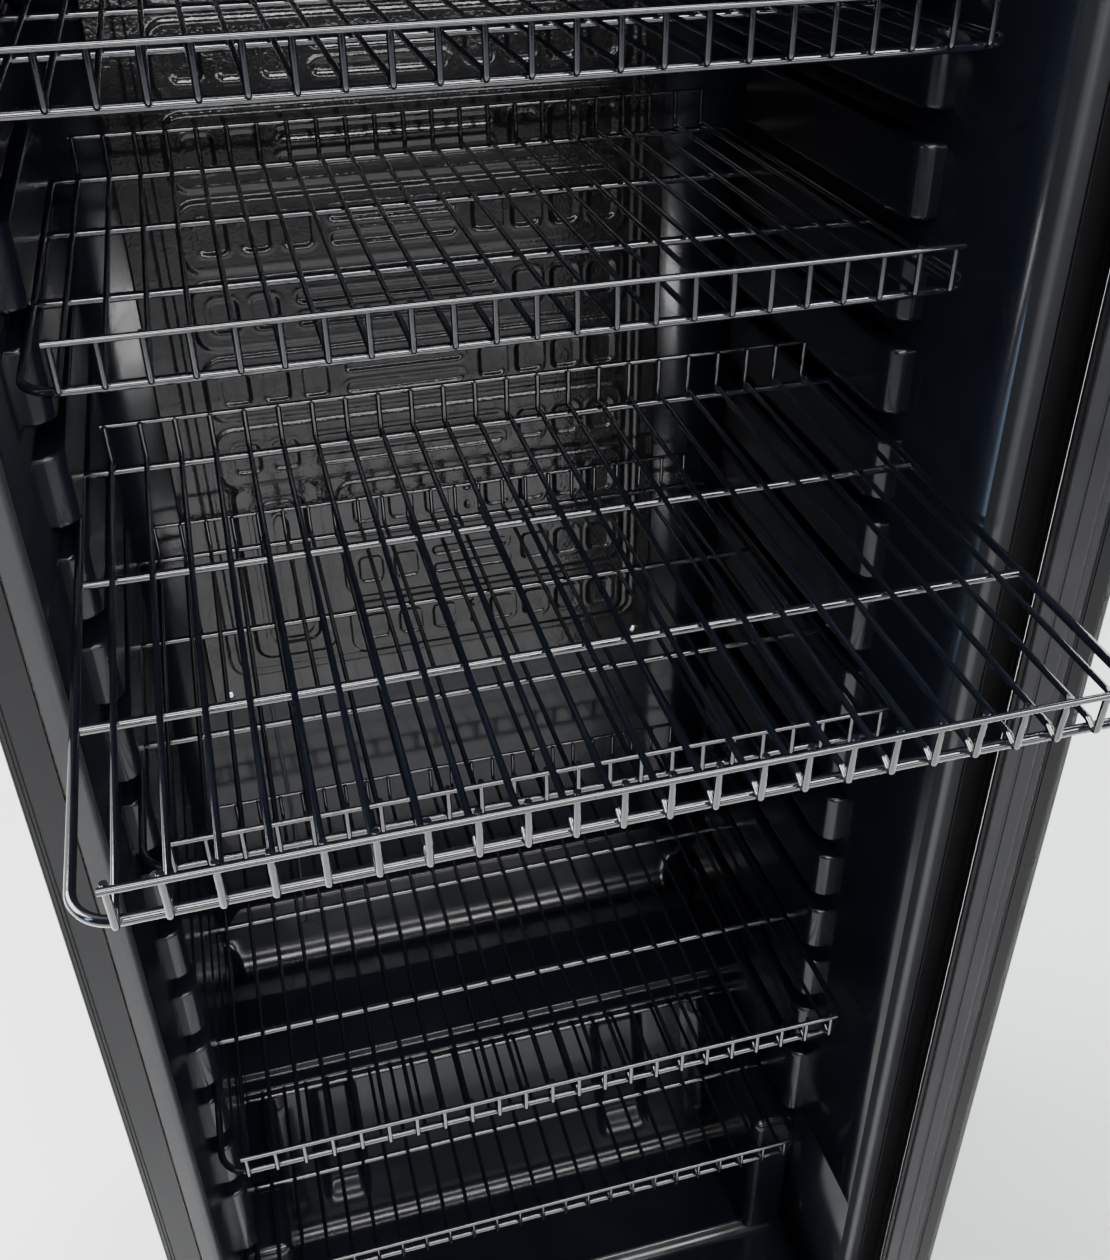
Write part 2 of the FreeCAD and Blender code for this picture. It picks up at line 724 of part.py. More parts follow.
def shelf_placement(shelf):
    """Where a shelf lies. The pulled shelf is tipped about the front ends of the ribs under it."""
    carrier = round(SHELF_RISE[shelf] * (RIB_COUNT - 1))
    level = number(f"lowest_rib_top + {carrier} * rib_pitch + rest_gap")
    if shelf != PULLED_SHELF:
        rest = FreeCAD.Vector(0, number(SHELF_BACK), level + number("bar_radius"))
        return FreeCAD.Placement(rest, FreeCAD.Rotation())
    rest = FreeCAD.Vector(0, number(RIB_FRONT), level)
    tilt = FreeCAD.Rotation(FreeCAD.Vector(1, 0, 0), number("shelf_tilt"))
    arm = FreeCAD.Vector(0, -number("shelf_hold"), -number("bar_radius"))
    return FreeCAD.Placement(rest - tilt.multVec(arm), tilt)


for shelf in SHELF_RISE:
    for part, members in (("deck", long_deck), ("fences", long_fences)):
        layer = group(f"shelf_{shelf}_{part}", members)
        layer.Placement = shelf_placement(shelf)
for part, members in (("deck", short_deck), ("fences", short_fences)):
    layer = group(f"shelf_6_{part}", members)
    place(layer, "0", SHORT_BACK, "ledge_level + rest_gap + bar_radius")

# ---- evaporator and what drains it ----
PLATE_HALF = f"({INNER} - plate_margin)"
PLATE_TOP = f"({CEILING} - plate_head_gap)"
CHANNEL_HALF = f"({PLATE_HALF} - channel_margin)"
CHANNEL_RUN = f"({PLATE_TOP} - plate_bottom - first_channel - channel_width)"
CHANNEL_COUNT = int(number(f"{CHANNEL_RUN} / channel_pitch")) + 1
STRIP_X = f"(strip_margin - {PLATE_HALF})"
PLATE_BACK = f"({REAR_WALL} - plate_standoff)"
PLATE_FRONT = f"({PLATE_BACK} - plate_gauge)"


def evaporator():
    """A roll-bonded plate with level refrigerant channels raised on its front."""
    plate = block("plate_sheet", (f"-{PLATE_HALF}", PLATE_HALF), (PLATE_FRONT, PLATE_BACK),
                  ("plate_bottom", PLATE_TOP))
    channels = []
    for index in range(CHANNEL_COUNT):
        low = f"plate_bottom + first_channel + {index} * channel_pitch"
        channels.append(block(f"channel_{index}", (f"-{CHANNEL_HALF}", CHANNEL_HALF),
                              (f"{PLATE_FRONT} - channel_rise", PLATE_FRONT), (low,
                                                                               f"({low}) + channel_width")))
    return fuse("evaporator_plate", [plate] + channels)


evaporator()
fasteners = []
for side in (-1, 1):
    for index, level in enumerate(("plate_bottom + screw_inset", f"{PLATE_TOP} - screw_inset")):
        spot = f"{side} * ({PLATE_HALF} - screw_inset)"
        tag = f"{'left' if side < 0 else 'right'}_{index}"
        fasteners.append(rod(f"standoff_{tag}", "y", "standoff_radius", "plate_standoff",
                             (spot, PLATE_BACK, level)))
        fasteners.append(rod(f"screw_head_{tag}", "y", "screw_radius", "screw_rise",
                             (spot, f"{PLATE_FRONT} - screw_rise", level)))
group("evaporator_fasteners", fasteners)

TAB_LEVEL = f"({TROUGH_FLOOR} + 14)"
STRIP_FRONT = f"({REAR_WALL} - strip_gap)"
strip = block("strip_band", (f"{STRIP_X} - probe_width/2", f"{STRIP_X} + probe_width/2"),
              (STRIP_FRONT, f"{STRIP_FRONT} + strip_gauge"), (TAB_LEVEL, "plate_bottom"))
tab = rod("strip_tab", "y", "tab_radius", "strip_gauge", (STRIP_X, STRIP_FRONT, TAB_LEVEL))
tab_slot = block("tab_slot", (f"{STRIP_X} - tab_radius/4", f"{STRIP_X} + tab_radius/4"),
                 (f"{STRIP_FRONT} - strip_gauge", f"{STRIP_FRONT} + 2 * strip_gauge"),
                 (f"{TAB_LEVEL} - tab_radius/2", f"{TAB_LEVEL} + tab_radius/2"))
cut("drain_strip", fuse("strip_and_tab", [strip, tab]), [tab_slot])

TRAY_LOW = "(compressor_level + compressor_height + 12)"
tube_start = ("0", f"{REAR_WALL} - drain_offset", f"{TRAY_LOW} + 14")
tube_length = f"{TROUGH_FLOOR} - 6 - ({TRAY_LOW} + 14)"
cut("drain_tube", rod("tube_outside", "z", "tube_radius + drain_wall", tube_length, tube_start),
    [rod("tube_inside", "z", "tube_radius", tube_length, tube_start)])

# ---- machine bay ----
COMPRESSOR_Y = f"({BACK} - compressor_setback)"


def compressor():
    """A welded steel pot with a rounded crown."""
    body = new_body("compressor")
    edge = "compressor_radius"
    profile = [("0", "0"), (f"0.8 * {edge}", "0"), (edge, "14"), (edge, "compressor_height - 45"),
               (f"0.93 * {edge}", "compressor_height - 22"), (f"0.7 * {edge}", "compressor_height - 7"),
               (f"0.35 * {edge}", "compressor_height - 1"), ("0", "compressor_height")]
    revolve(body, outline(body, "XZ_Plane", "pot_profile", profile), "pot")
    place(body, "0", COMPRESSOR_Y, "compressor_level")


compressor()
mounts = [block("mount_rail", ("-mount_half_width", "mount_half_width"),
                (f"{COMPRESSOR_Y} - mount_half_depth", f"{COMPRESSOR_Y} + mount_half_depth"),
                ("compressor_level - 3", "compressor_level"))]
for index, (side, end) in enumerate(FEET):
    mounts.append(rod(f"grommet_{index}", "z", "8", "compressor_level - 3 - foot_height - pan_gauge",
                      (f"{side} * (mount_half_width - 11)",
                       f"{COMPRESSOR_Y} + {end} * (mount_half_depth - 10)",
                       "foot_height + pan_gauge")))
group("compressor_mounts", mounts)
block("terminal_cover", ("compressor_radius + 0.2", "compressor_radius + 34"),
      (f"{COMPRESSOR_Y} - 24", f"{COMPRESSOR_Y} + 24"), ("compressor_level + 30", "compressor_level + 92"))

tray_y = (f"{COMPRESSOR_Y} - 62", f"{COMPRESSOR_Y} + 78")
tray_outside = block("tray_outside", ("-tray_half_width", "tray_half_width"), tray_y,
                     (TRAY_LOW, f"{TRAY_LOW} + tray_height"))
tray_inside = block("tray_inside", ("tray_wall - tray_half_width", "tray_half_width - tray_wall"),
                    (f"({tray_y[0]}) + tray_wall", f"({tray_y[1]}) - tray_wall"),
                    (f"{TRAY_LOW} + tray_wall", f"{TRAY_LOW} + tray_height + tray_wall"))
cut("drip_tray", tray_outside, [tray_inside])

CORE_LOW = "(foot_height + 8)"
CORE_WIDTH = "(cabinet_width - condenser_margin)"
CORE_LEFT = f"(-{CORE_WIDTH}/2 - condenser_offset)"
CORE_FRONT = f"({FRONT} + condenser_setback)"


def condenser():
    """A finned block: upright fins on level tubes."""
    fins = 25
    members = []
    for index in range(fins):
        low = f"{CORE_LEFT} + {index} * ({CORE_WIDTH} - fin_gauge) / {fins - 1}"
        members.append(block(f"fin_{index}", (low, f"({low}) + fin_gauge"),
                             (CORE_FRONT, f"{CORE_FRONT} + condenser_depth"),
                             (CORE_LOW, f"{CORE_LOW} + condenser_height")))
    for index in range(4):
        level = f"{CORE_LOW} + condenser_height * {index + 0.5} / 4"
        members.append(rod(f"core_tube_{index}", "x", "tube_radius", f"{CORE_WIDTH} + 16",
                           (f"{CORE_LEFT} - 8", f"{CORE_FRONT} + condenser_depth / 2", level)))
    return fuse("condenser", members)


condenser()
FAN_X = "-condenser_offset"
FAN_Z = f"({CORE_LOW} + condenser_height / 2)"
SHROUD_FRONT = f"({CORE_FRONT} + condenser_depth + 1)"
shroud_plate = block("shroud_block", (f"{FAN_X} - {CORE_WIDTH}/2", f"{FAN_X} + {CORE_WIDTH}/2"),
                     (SHROUD_FRONT, f"{SHROUD_FRONT} + shroud_depth"), (CORE_LOW,
                                                                        f"{CORE_LOW} + condenser_height"))
shroud_hollow = block("shroud_hollow", (f"{FAN_X} - {CORE_WIDTH}/2 + 2", f"{FAN_X} + {CORE_WIDTH}/2 - 2"),
                      (f"{SHROUD_FRONT} - 1", f"{SHROUD_FRONT} + shroud_depth - 2"),
                      (f"{CORE_LOW} + 2", f"{CORE_LOW} + condenser_height - 2"))
shroud_hole = rod("shroud_hole", "y", "fan_radius + fan_clearance", "60",
                  (FAN_X, f"{SHROUD_FRONT} - 2", FAN_Z))
cut("fan_shroud", shroud_plate, [shroud_hollow, shroud_hole])


def fan(name, radius, hub, blades, pitch, thickness):
    """A hub with flat pitched blades. The fan turns about its own Z axis."""
    members = [rod(name + "_hub", "z", hub, thickness, ("0", "0", f"-({thickness}) / 2"))]
    for index in range(blades):
        blade = document.addObject("Part::Box", f"{name}_blade_{index}")
        bind(blade, "Length", f"{radius} - {hub} + 2")
        bind(blade, "Width", f"0.62 * {radius}")
        blade.Height = 1.5
        turn = FreeCAD.Rotation(FreeCAD.Vector(0, 0, 1), 360 * index / blades)
        tilt = FreeCAD.Rotation(FreeCAD.Vector(1, 0, 0), pitch)
        width = 0.62 * number(radius)
        corner = FreeCAD.Vector(number(hub) - 2, -width / 2, -0.75)
        blade.Placement = FreeCAD.Placement(FreeCAD.Vector(), turn.multiply(tilt)).multiply(
            FreeCAD.Placement(corner, FreeCAD.Rotation()))
        members.append(blade)
    rim = rod(name + "_rim", "z", radius, "60", ("0", "0", "-30"))
    trimmed = document.addObject("Part::MultiCommon", name + "_trimmed")
    trimmed.Shapes = [fuse(name + "_rough", members), rim]
    bore = rod(name + "_bore", "z", "shaft_radius + shaft_gap", "60", ("0", "0", "-30"))
    return cut(name, trimmed, [bore])


blade = fan("condenser_fan_blade", "fan_radius", "fan_hub_radius", 4, 24, "14")
blade.Placement = FreeCAD.Placement(FreeCAD.Vector(), FreeCAD.Rotation(FreeCAD.Vector(1, 0, 0), 90))
place(blade, FAN_X, f"{SHROUD_FRONT} + shroud_depth - 6", FAN_Z)

MOTOR_FRONT = f"({SHROUD_FRONT} + shroud_depth + 2)"
motor = rod("motor_can", "y", "motor_radius", "motor_length", (FAN_X, MOTOR_FRONT, FAN_Z))
arms = [block(f"motor_arm_{index}", (f"{FAN_X} + {side} * 10 - 5", f"{FAN_X} + {side} * 10 + 5"),
              (f"{MOTOR_FRONT} + motor_length", f"{MOTOR_FRONT} + motor_length + 2"), (f"foot_height + 2",
                                                                                       f"{FAN_Z} + 12"))
        for index, side in enumerate((-1, 1))]
motor_shaft = rod("motor_shaft", "y", "shaft_radius", "16", (FAN_X, f"{MOTOR_FRONT} - 15", FAN_Z))
fuse("condenser_fan_motor", [motor, motor_shaft] + arms)


def pipe(name, points, radius):
    """A bent copper tube through hand-set points."""
    piece = document.addObject("Part::Feature", name)
    piece.Shape = swept_bar([FreeCAD.Vector(*point) for point in points], radius, 4 * radius)
    return piece


def refrigerant_pipes():
    """Discharge line to the condenser and suction line up to the evaporator."""
    pot_y = number(COMPRESSOR_Y)
    pot_r = number("compressor_radius")
    low = number("compressor_level")
    core_y = number(f"{CORE_FRONT} + condenser_depth / 2")
    core_x = number(f"{CORE_LEFT} - 30")
    tube = number("tube_radius") * 0.8
    discharge = [(-pot_r - 0.5, pot_y, low + 60), (core_x, pot_y, low + 60), (core_x, core_y, low + 60),
                 (core_x + 16, core_y, low + 60)]
    suction = [(-pot_r - 0.5, pot_y - 10, low + 90), (-pot_r - 50, pot_y - 10, low + 90),
               (-pot_r - 50, pot_y - 10, number("bay_top - 0.5"))]
    return group("refrigerant_pipes", [pipe("discharge_line", discharge, tube), pipe("suction_line",
                                                                                     suction, tube)])


refrigerant_pipes()


def cable_gland():
    """The strain-relief gland where the supply lead leaves the machine bay."""
    body = new_body("cable_gland")
    profile = [("5", "0"), ("14", "0"), ("14", "8"), ("10", "10"), ("8", "26"), ("5", "26")]
    revolve(body, outline(body, "XZ_Plane", "gland_profile", profile), "gland_turned")
    body.Placement = FreeCAD.Placement(FreeCAD.Vector(), FreeCAD.Rotation(FreeCAD.Vector(1, 0, 0), -90))
    place(body, f"{INSIDE} - 30", BACK, "foot_height + 40")


cable_gland()

# ---- header ----
LAMP_HALF = f"({INNER} - lamp_margin)"
HEADER_TOP = "(body_top + header_height)"
HEADER_BACK = f"({FRONT} + header_depth)"
header = [
    block("header_left", (f"-{SIDE}", f"header_shell - {SIDE}"), (FRONT, HEADER_BACK),
          ("body_top", HEADER_TOP)),
    block("header_right", (f"{SIDE} - header_shell", SIDE), (FRONT, HEADER_BACK), ("body_top", HEADER_TOP)),
    block("header_base", (f"header_shell - {SIDE}", f"{SIDE} - header_shell"), (FRONT, HEADER_BACK),
          ("body_top", f"body_top + header_shell")),
    block("header_roof", (f"header_shell - {SIDE}", f"{SIDE} - header_shell"), (FRONT, HEADER_BACK),
          (f"{HEADER_TOP} - header_shell", HEADER_TOP)),
    block("header_spine", (f"header_shell - {SIDE}", f"{SIDE} - header_shell"),
          (f"{HEADER_BACK} - header_shell", HEADER_BACK),
          (f"body_top + header_shell", f"{HEADER_TOP} - header_shell")),
]
SWITCH_X = f"({SIDE} - switch_inset)"
SWITCH_Z = "(body_top + switch_inset)"
header += ring("switch_bezel", f"{SWITCH_X} - bezel_half_width", f"{SWITCH_X} + bezel_half_width",
               f"{SWITCH_Z} - bezel_half_height", f"{SWITCH_Z} + bezel_half_height", "bezel_width",
               (HEADER_BACK, f"{HEADER_BACK} + bezel_rise"))
header.append(rod("rocker_pin", "x", "1", "16", (f"{SWITCH_X} - 8", f"{HEADER_BACK} + rocker_pivot",
                                                 SWITCH_Z)))
group("header_housing", header)
block("header_sign", (f"header_shell - {SIDE}", f"{SIDE} - header_shell"), (FRONT, f"{FRONT} + sign_gauge"),
      (f"body_top + header_shell", f"{HEADER_TOP} - header_shell"))
LED_BACK = f"({HEADER_BACK} - header_shell)"
block("header_led_bar", (f"-{LAMP_HALF}", LAMP_HALF), (f"{LED_BACK} - 12", LED_BACK),
      (f"{SWITCH_Z} + 40", f"{SWITCH_Z} + 65"))


def rocker():
    """The rocker of the sign light's switch, a shallow V that tips in its bezel."""
    body = new_body("light_switch_rocker")
    profile = [("2.2", "-11.4"), ("8", "-11.4"), ("5.6", "0"), ("8", "11.4"), ("2.2", "11.4")]
    pad(body, outline(body, "YZ_Plane", "rocker_profile", profile), "rocker_width", "15.2", both_ways=True)
    pocket(body, circle(body, "YZ_Plane", "pivot_outline", "1.05", ("rocker_pivot", "0")), "pivot_bore")
    place(body, SWITCH_X, HEADER_BACK, SWITCH_Z)


rocker()

# ---- lamp, thermostat and air circulation under the ceiling ----
CONTROL_FRONT = f"({FRONT} + control_setback)"
control_box = block("control_outside", ("-control_left", "-control_right"),
                    (CONTROL_FRONT, f"{CONTROL_FRONT} + control_depth"), (f"{CEILING} - control_height",
                                                                          CEILING))
control_hollow = block("control_hollow", ("moulding_wall - control_left", "-moulding_wall - control_right"),
                       (f"{CONTROL_FRONT} + moulding_wall",
                        f"{CONTROL_FRONT} + control_depth - moulding_wall"),
                       (f"{CEILING} + moulding_wall - control_height", f"{CEILING} + 1"))
KNOB_X = "(-knob_offset)"
KNOB_Z = f"({CEILING} - control_height / 2)"
cut("control_housing", control_box, [
    control_hollow,
    rod("control_bore", "y", "shaft_bore", "20", (KNOB_X, f"{CONTROL_FRONT} - 1", KNOB_Z)),
])
cut("thermostat_body", block("thermostat_block", (f"{KNOB_X} - 18", f"{KNOB_X} + 18"),
                             (f"{CONTROL_FRONT} + 2", f"{CONTROL_FRONT} + 34"), (f"{KNOB_Z} - 13",
                                                                                 f"{KNOB_Z} + 13")),
    [rod("thermostat_bore", "y", "shaft_bore", "14", (KNOB_X, f"{CONTROL_FRONT} + 1", KNOB_Z))])


def thermostat_knob():
    """A round dial with a pointer rib and its shaft."""
    body = new_body("thermostat_knob")
    profile = [("0", "-14"), ("3.05", "-14"), ("3.05", "0.5"), ("knob_radius", "0.5"),
               ("knob_radius", "knob_height - 3"), ("knob_radius - 3", "knob_height"), ("0", "knob_height")]
    revolve(body, outline(body, "XZ_Plane", "knob_profile", profile), "knob_turned")
    rib = outline(body, "XY_Plane", "pointer_outline", box_corners("-1.5", "1.5", "2", "knob_radius - 2"))
    pad(body, rib, "pointer", "knob_height + 2")
    body.Placement = FreeCAD.Placement(FreeCAD.Vector(), FreeCAD.Rotation(FreeCAD.Vector(1, 0, 0), 90))
    place(body, KNOB_X, CONTROL_FRONT, KNOB_Z)


thermostat_knob()

LAMP_Y = (f"{LINER_FRONT} + lamp_setback", f"{LINER_FRONT} + lamp_setback + lamp_width")
cut("lamp_cover", block("lamp_outside", (f"-{LAMP_HALF} - 10", f"{LAMP_HALF} + 10"), LAMP_Y,
                        (f"{CEILING} - lamp_height", CEILING)),
    [block("lamp_inside", (f"-{LAMP_HALF} - 8", f"{LAMP_HALF} + 8"), (f"{LAMP_Y[0]} + 2", f"{LAMP_Y[1]} - 2"),
           (f"{CEILING} + moulding_wall - lamp_height", f"{CEILING} + 1"))])
block("lamp_board", (f"-{LAMP_HALF}", LAMP_HALF), (f"{LAMP_Y[0]} + 8", f"{LAMP_Y[1]} - 8"),
      (f"{CEILING} - 4", CEILING))

DUCT_X = "duct_offset"
DUCT_Y = f"({REAR_WALL} - duct_setback)"
duct_half = "circulation_radius + duct_border"
duct_box = block("duct_outside", (f"{DUCT_X} - ({duct_half})", f"{DUCT_X} + {duct_half}"),
                 (f"{DUCT_Y} - ({duct_half})", f"{DUCT_Y} + {duct_half}"), (f"{CEILING} - duct_height",
                                                                            CEILING))
duct_hollow = block("duct_hollow", (f"{DUCT_X} - ({duct_half}) + 2", f"{DUCT_X} + {duct_half} - 2"),
                    (f"{DUCT_Y} - ({duct_half}) + 2", f"{DUCT_Y} + {duct_half} - 2"),
                    (f"{CEILING} + moulding_wall - duct_height", f"{CEILING} + 1"))
duct_slots = []
for index in range(9):
    low = f"{DUCT_X} - circulation_radius + {index} * circulation_radius * 2 / 9"
    duct_slots.append(block(f"duct_slot_{index}", (low, f"({low}) + 5"),
                            (f"{DUCT_Y} - circulation_radius", f"{DUCT_Y} + circulation_radius"),
                            (f"{CEILING} - duct_height - 1", f"{CEILING} - duct_height + 3")))
cut("circulation_fan_cover", duct_box, [duct_hollow] + duct_slots)
fuse("circulation_fan_motor", [
    rod("circulation_can", "z", "17", "16", (DUCT_X, DUCT_Y, f"{CEILING} - 16")),
    rod("circulation_shaft", "z", "shaft_radius", "30", (DUCT_X, DUCT_Y, f"{CEILING} - 31")),
])
small_fan = fan("circulation_fan_blade", "circulation_radius", "fan_hub_radius", 5, 22, "8")
place(small_fan, DUCT_X, DUCT_Y, f"{CEILING} - 25")

# ---- door, drawn shut and then swung open about its hinge ----
pivot = FreeCAD.Vector(number(HINGE_X), number(HINGE_Y), 0)
turn = FreeCAD.Rotation(FreeCAD.Vector(0, 0, 1), number("door_open"))
SWING = FreeCAD.Placement(FreeCAD.Vector(), turn, pivot)

DOOR_Y = (DOOR_FRONT, DOOR_BACK)
profiles = ring("door", f"-{SIDE}", SIDE, DOOR_BOTTOM, DOOR_TOP, "stile_width", DOOR_Y)
LOCK_X = f"(-{SIDE} + stile_width / 2)"
lock_bore = rod("lock_bore", "y", "lock_radius + 0.1", "24", (LOCK_X, f"{DOOR_FRONT} - 1", "lock_level"))
pin_bores = [
    rod("pin_bore_low", "z", "pin_radius + pin_gap", "pin_length + 2",
        (HINGE_X, HINGE_Y, f"{DOOR_BOTTOM} - 2")),
    rod("pin_bore_high", "z", "pin_radius + pin_gap", "pin_length + 2",
        (HINGE_X, HINGE_Y, f"{DOOR_TOP} - pin_length")),
]
door_frame = group("door_frame", [
    cut("handle_stile", profiles[0], [lock_bore]),
    cut("hinge_stile", profiles[1], pin_bores),
    profiles[2],
    profiles[3],
])

PANE_X = (f"stile_width - {SIDE}", f"{SIDE} - stile_width")
PANE_Z = (f"{DOOR_BOTTOM} + stile_width", f"{DOOR_TOP} - stile_width")
INNER_PANE = f"({DOOR_BACK} - pane_recess)"
OUTER_PANE = f"({INNER_PANE} - pane_gauge - pane_spacing)"
glass_panes = group("glass_panes", [
    block("inner_pane", PANE_X, (f"{INNER_PANE} - pane_gauge", INNER_PANE), PANE_Z),
    block("outer_pane", PANE_X, (f"{OUTER_PANE} - pane_gauge", OUTER_PANE), PANE_Z),
])
glass_spacer = group("glass_spacer", ring("spacer", PANE_X[0], PANE_X[1], PANE_Z[0], PANE_Z[1],
                                          "spacer_width",
                                          (OUTER_PANE, f"{INNER_PANE} - pane_gauge")))

GASKET_DEPTH = "(door_gap - gasket_clearance)"
GASKET_X = (f"gasket_inset - {SIDE}", f"{SIDE} - gasket_inset")
GASKET_Z = (f"{DOOR_BOTTOM} + gasket_inset", f"{DOOR_TOP} - gasket_inset")
gasket = ring("gasket", GASKET_X[0], GASKET_X[1], GASKET_Z[0], GASKET_Z[1], "gasket_width",
              (DOOR_BACK, f"{DOOR_BACK} + {GASKET_DEPTH}"))
gasket += ring("gasket_lip", f"{GASKET_X[0]} + gasket_width", f"{GASKET_X[1]} - gasket_width",
               f"{GASKET_Z[0]} + gasket_width", f"{GASKET_Z[1]} - gasket_width", "gasket_lip",
               (DOOR_BACK, f"{DOOR_BACK} + {GASKET_DEPTH} / 2"))
door_gasket = group("door_gasket", gasket)


def grip():
    """A round grip bar on two posts."""
    post = "(handle_radius * 0.7)"
    back_y = f"({DOOR_FRONT} - handle_reach)"
    members = [rod("grip_bar", "z", "handle_radius", "handle_length", (LOCK_X, back_y, "handle_level"))]
    for index, level in enumerate(("handle_level + post_inset", "handle_level + handle_length - post_inset")):
        members.append(rod(f"handle_post_{index}", "y", post, "handle_reach", (LOCK_X, back_y, level)))
    return fuse("door_handle", members)


def lock_cylinder():
    """A key barrel with its key slot, set in the handle stile."""
    body = new_body("lock_cylinder")
    pad(body, circle(body, "XZ_Plane", "barrel_outline", "lock_radius"), "barrel", "lock_length",
        backwards=True)
    slot = outline(body, "XZ_Plane", "key_slot", box_corners("-0.8", "0.8", "-5", "5"))
    pocket(body, slot, "key_way", "9")
    return body


door_handle = grip()
lock = lock_cylinder()
for piece in (door_frame, glass_panes, glass_spacer, door_gasket, door_handle):
    piece.Placement = SWING
document.recompute()
lock_spot = FreeCAD.Vector(number(LOCK_X), number(DOOR_FRONT), number("lock_level"))
lock.Placement = SWING.multiply(FreeCAD.Placement(lock_spot, FreeCAD.Rotation()))

# ---- hinge brackets and pins, fixed to the cabinet ----
BRACKET_X = (f"{SIDE} - bracket_width", SIDE)
BRACKET_Y = (f"{HINGE_Y} - bracket_nose", FRONT)
LOW_PLATE = (f"{DOOR_BOTTOM} - hinge_gap - bracket_gauge", f"{DOOR_BOTTOM} - hinge_gap")
HIGH_PLATE = (f"{DOOR_TOP} + hinge_gap", f"{DOOR_TOP} + hinge_gap + bracket_gauge")
PIN_SPAN = "bracket_gauge + hinge_gap + pin_length - 1"
LEG_Y = (f"{FRONT} - bracket_gauge", FRONT)


def bracket(name, plate, leg_z, pin_low):
    """An angle bracket with a fixed pin that stands out of its plate."""
    shelf = block(name + "_plate", BRACKET_X, BRACKET_Y, plate)
    leg = block(name + "_leg", BRACKET_X, LEG_Y, leg_z)
    bore = rod(name + "_bore", "z", "pin_radius", "60", (HINGE_X, HINGE_Y, f"{pin_low} - 20"))
    return cut(name, fuse(name + "_angle", [shelf, leg]), [bore])


group("hinge_brackets", [
    bracket("low_bracket", LOW_PLATE, (f"{LOW_PLATE[0]} - bracket_drop", LOW_PLATE[1]), DOOR_BOTTOM),
    bracket("high_bracket", HIGH_PLATE, (HIGH_PLATE[0], f"{HIGH_PLATE[1]} + bracket_drop / 2"), DOOR_TOP),
])
group("hinge_pins", [
    rod("low_pin", "z", "pin_radius", PIN_SPAN, (HINGE_X, HINGE_Y, LOW_PLATE[0])),
    rod("high_pin", "z", "pin_radius", PIN_SPAN, (HINGE_X, HINGE_Y, f"{DOOR_TOP} - pin_length + 1")),
])

# ---- export ----
NODES = """left_panel right_panel top_panel back_panel base_pan feet front_frame breaker_strips
front_grille rear_grille liner insulation evaporator_plate evaporator_fasteners drain_strip drain_tube
compressor compressor_mounts terminal_cover drip_tray condenser fan_shroud condenser_fan_blade
condenser_fan_motor refrigerant_pipes cable_gland header_housing header_sign header_led_bar
light_switch_rocker control_housing thermostat_body thermostat_knob lamp_cover lamp_board
circulation_fan_cover circulation_fan_motor circulation_fan_blade door_frame glass_panes glass_spacer
door_gasket door_handle lock_cylinder hinge_brackets hinge_pins""".split()
NODES += [f"shelf_{shelf}_{part}" for shelf in range(1, 7) for part in ("deck", "fences")]

document.recompute()
for item in document.Objects:
    if "Invalid" in item.State or "Error" in item.State:
        raise RuntimeError(f"{item.Name} is in state {item.State}")
os.makedirs("parts", exist_ok=True)
for name in NODES:
    item = document.getObject(name)
    item.Label = name
    if item.Shape.isNull() or not item.Shape.isValid():
        raise RuntimeError(f"{name} has no valid shape")
    item.Shape.exportStep(f"parts/{name}.step")
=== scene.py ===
import json
import math

import bmesh
import bpy
import numpy as np
from mathutils import Matrix, Vector


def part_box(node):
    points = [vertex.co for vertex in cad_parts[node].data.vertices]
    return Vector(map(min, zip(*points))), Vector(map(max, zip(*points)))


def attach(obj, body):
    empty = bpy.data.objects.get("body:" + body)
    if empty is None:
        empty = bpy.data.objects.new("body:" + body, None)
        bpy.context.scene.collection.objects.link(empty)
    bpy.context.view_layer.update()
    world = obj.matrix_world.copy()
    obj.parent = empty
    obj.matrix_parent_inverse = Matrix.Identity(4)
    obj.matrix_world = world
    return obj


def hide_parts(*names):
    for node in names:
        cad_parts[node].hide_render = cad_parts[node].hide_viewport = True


# Glass door merchandiser: an upright display fridge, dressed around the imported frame. Metres throughout.
# X runs to the right as seen from the door side, Y runs from the door to the back, Z runs up.

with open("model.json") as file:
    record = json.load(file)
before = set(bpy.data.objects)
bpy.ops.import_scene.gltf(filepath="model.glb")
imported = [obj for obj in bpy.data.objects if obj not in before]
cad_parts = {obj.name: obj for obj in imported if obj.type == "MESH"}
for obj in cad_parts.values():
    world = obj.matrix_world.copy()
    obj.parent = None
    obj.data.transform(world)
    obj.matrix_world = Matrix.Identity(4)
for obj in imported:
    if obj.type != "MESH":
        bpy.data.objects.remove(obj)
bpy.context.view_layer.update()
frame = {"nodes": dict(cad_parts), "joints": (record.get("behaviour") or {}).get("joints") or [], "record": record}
NODES = frame["nodes"]
MM = 0.001

# ---- materials
NOISE_LOW, NOISE_HIGH = 0.3, 0.7  # most of a noise's values lie between these
COAT_ROUGHNESS = 0.06
GLASS_INDEX = 1.25  # below real glass, to weaken its reflections


def new_material(name):
    """A material with its shader and a noise coordinate in metres."""
    made = bpy.data.materials.new(name)
    made.use_nodes = True
    tree = made.node_tree
    shader = tree.nodes["Principled BSDF"]
    place = tree.nodes.new("ShaderNodeTexCoord")
    return made, tree, shader, place.outputs["Object"]


def noise(tree, place, scale, detail=3.0):
    """Noise at a scale in cells per metre."""
    cells = tree.nodes.new("ShaderNodeTexNoise")
    cells.inputs["Scale"].default_value = scale
    cells.inputs["Detail"].default_value = detail
    tree.links.new(place, cells.inputs["Vector"])
    return cells.outputs["Fac"]


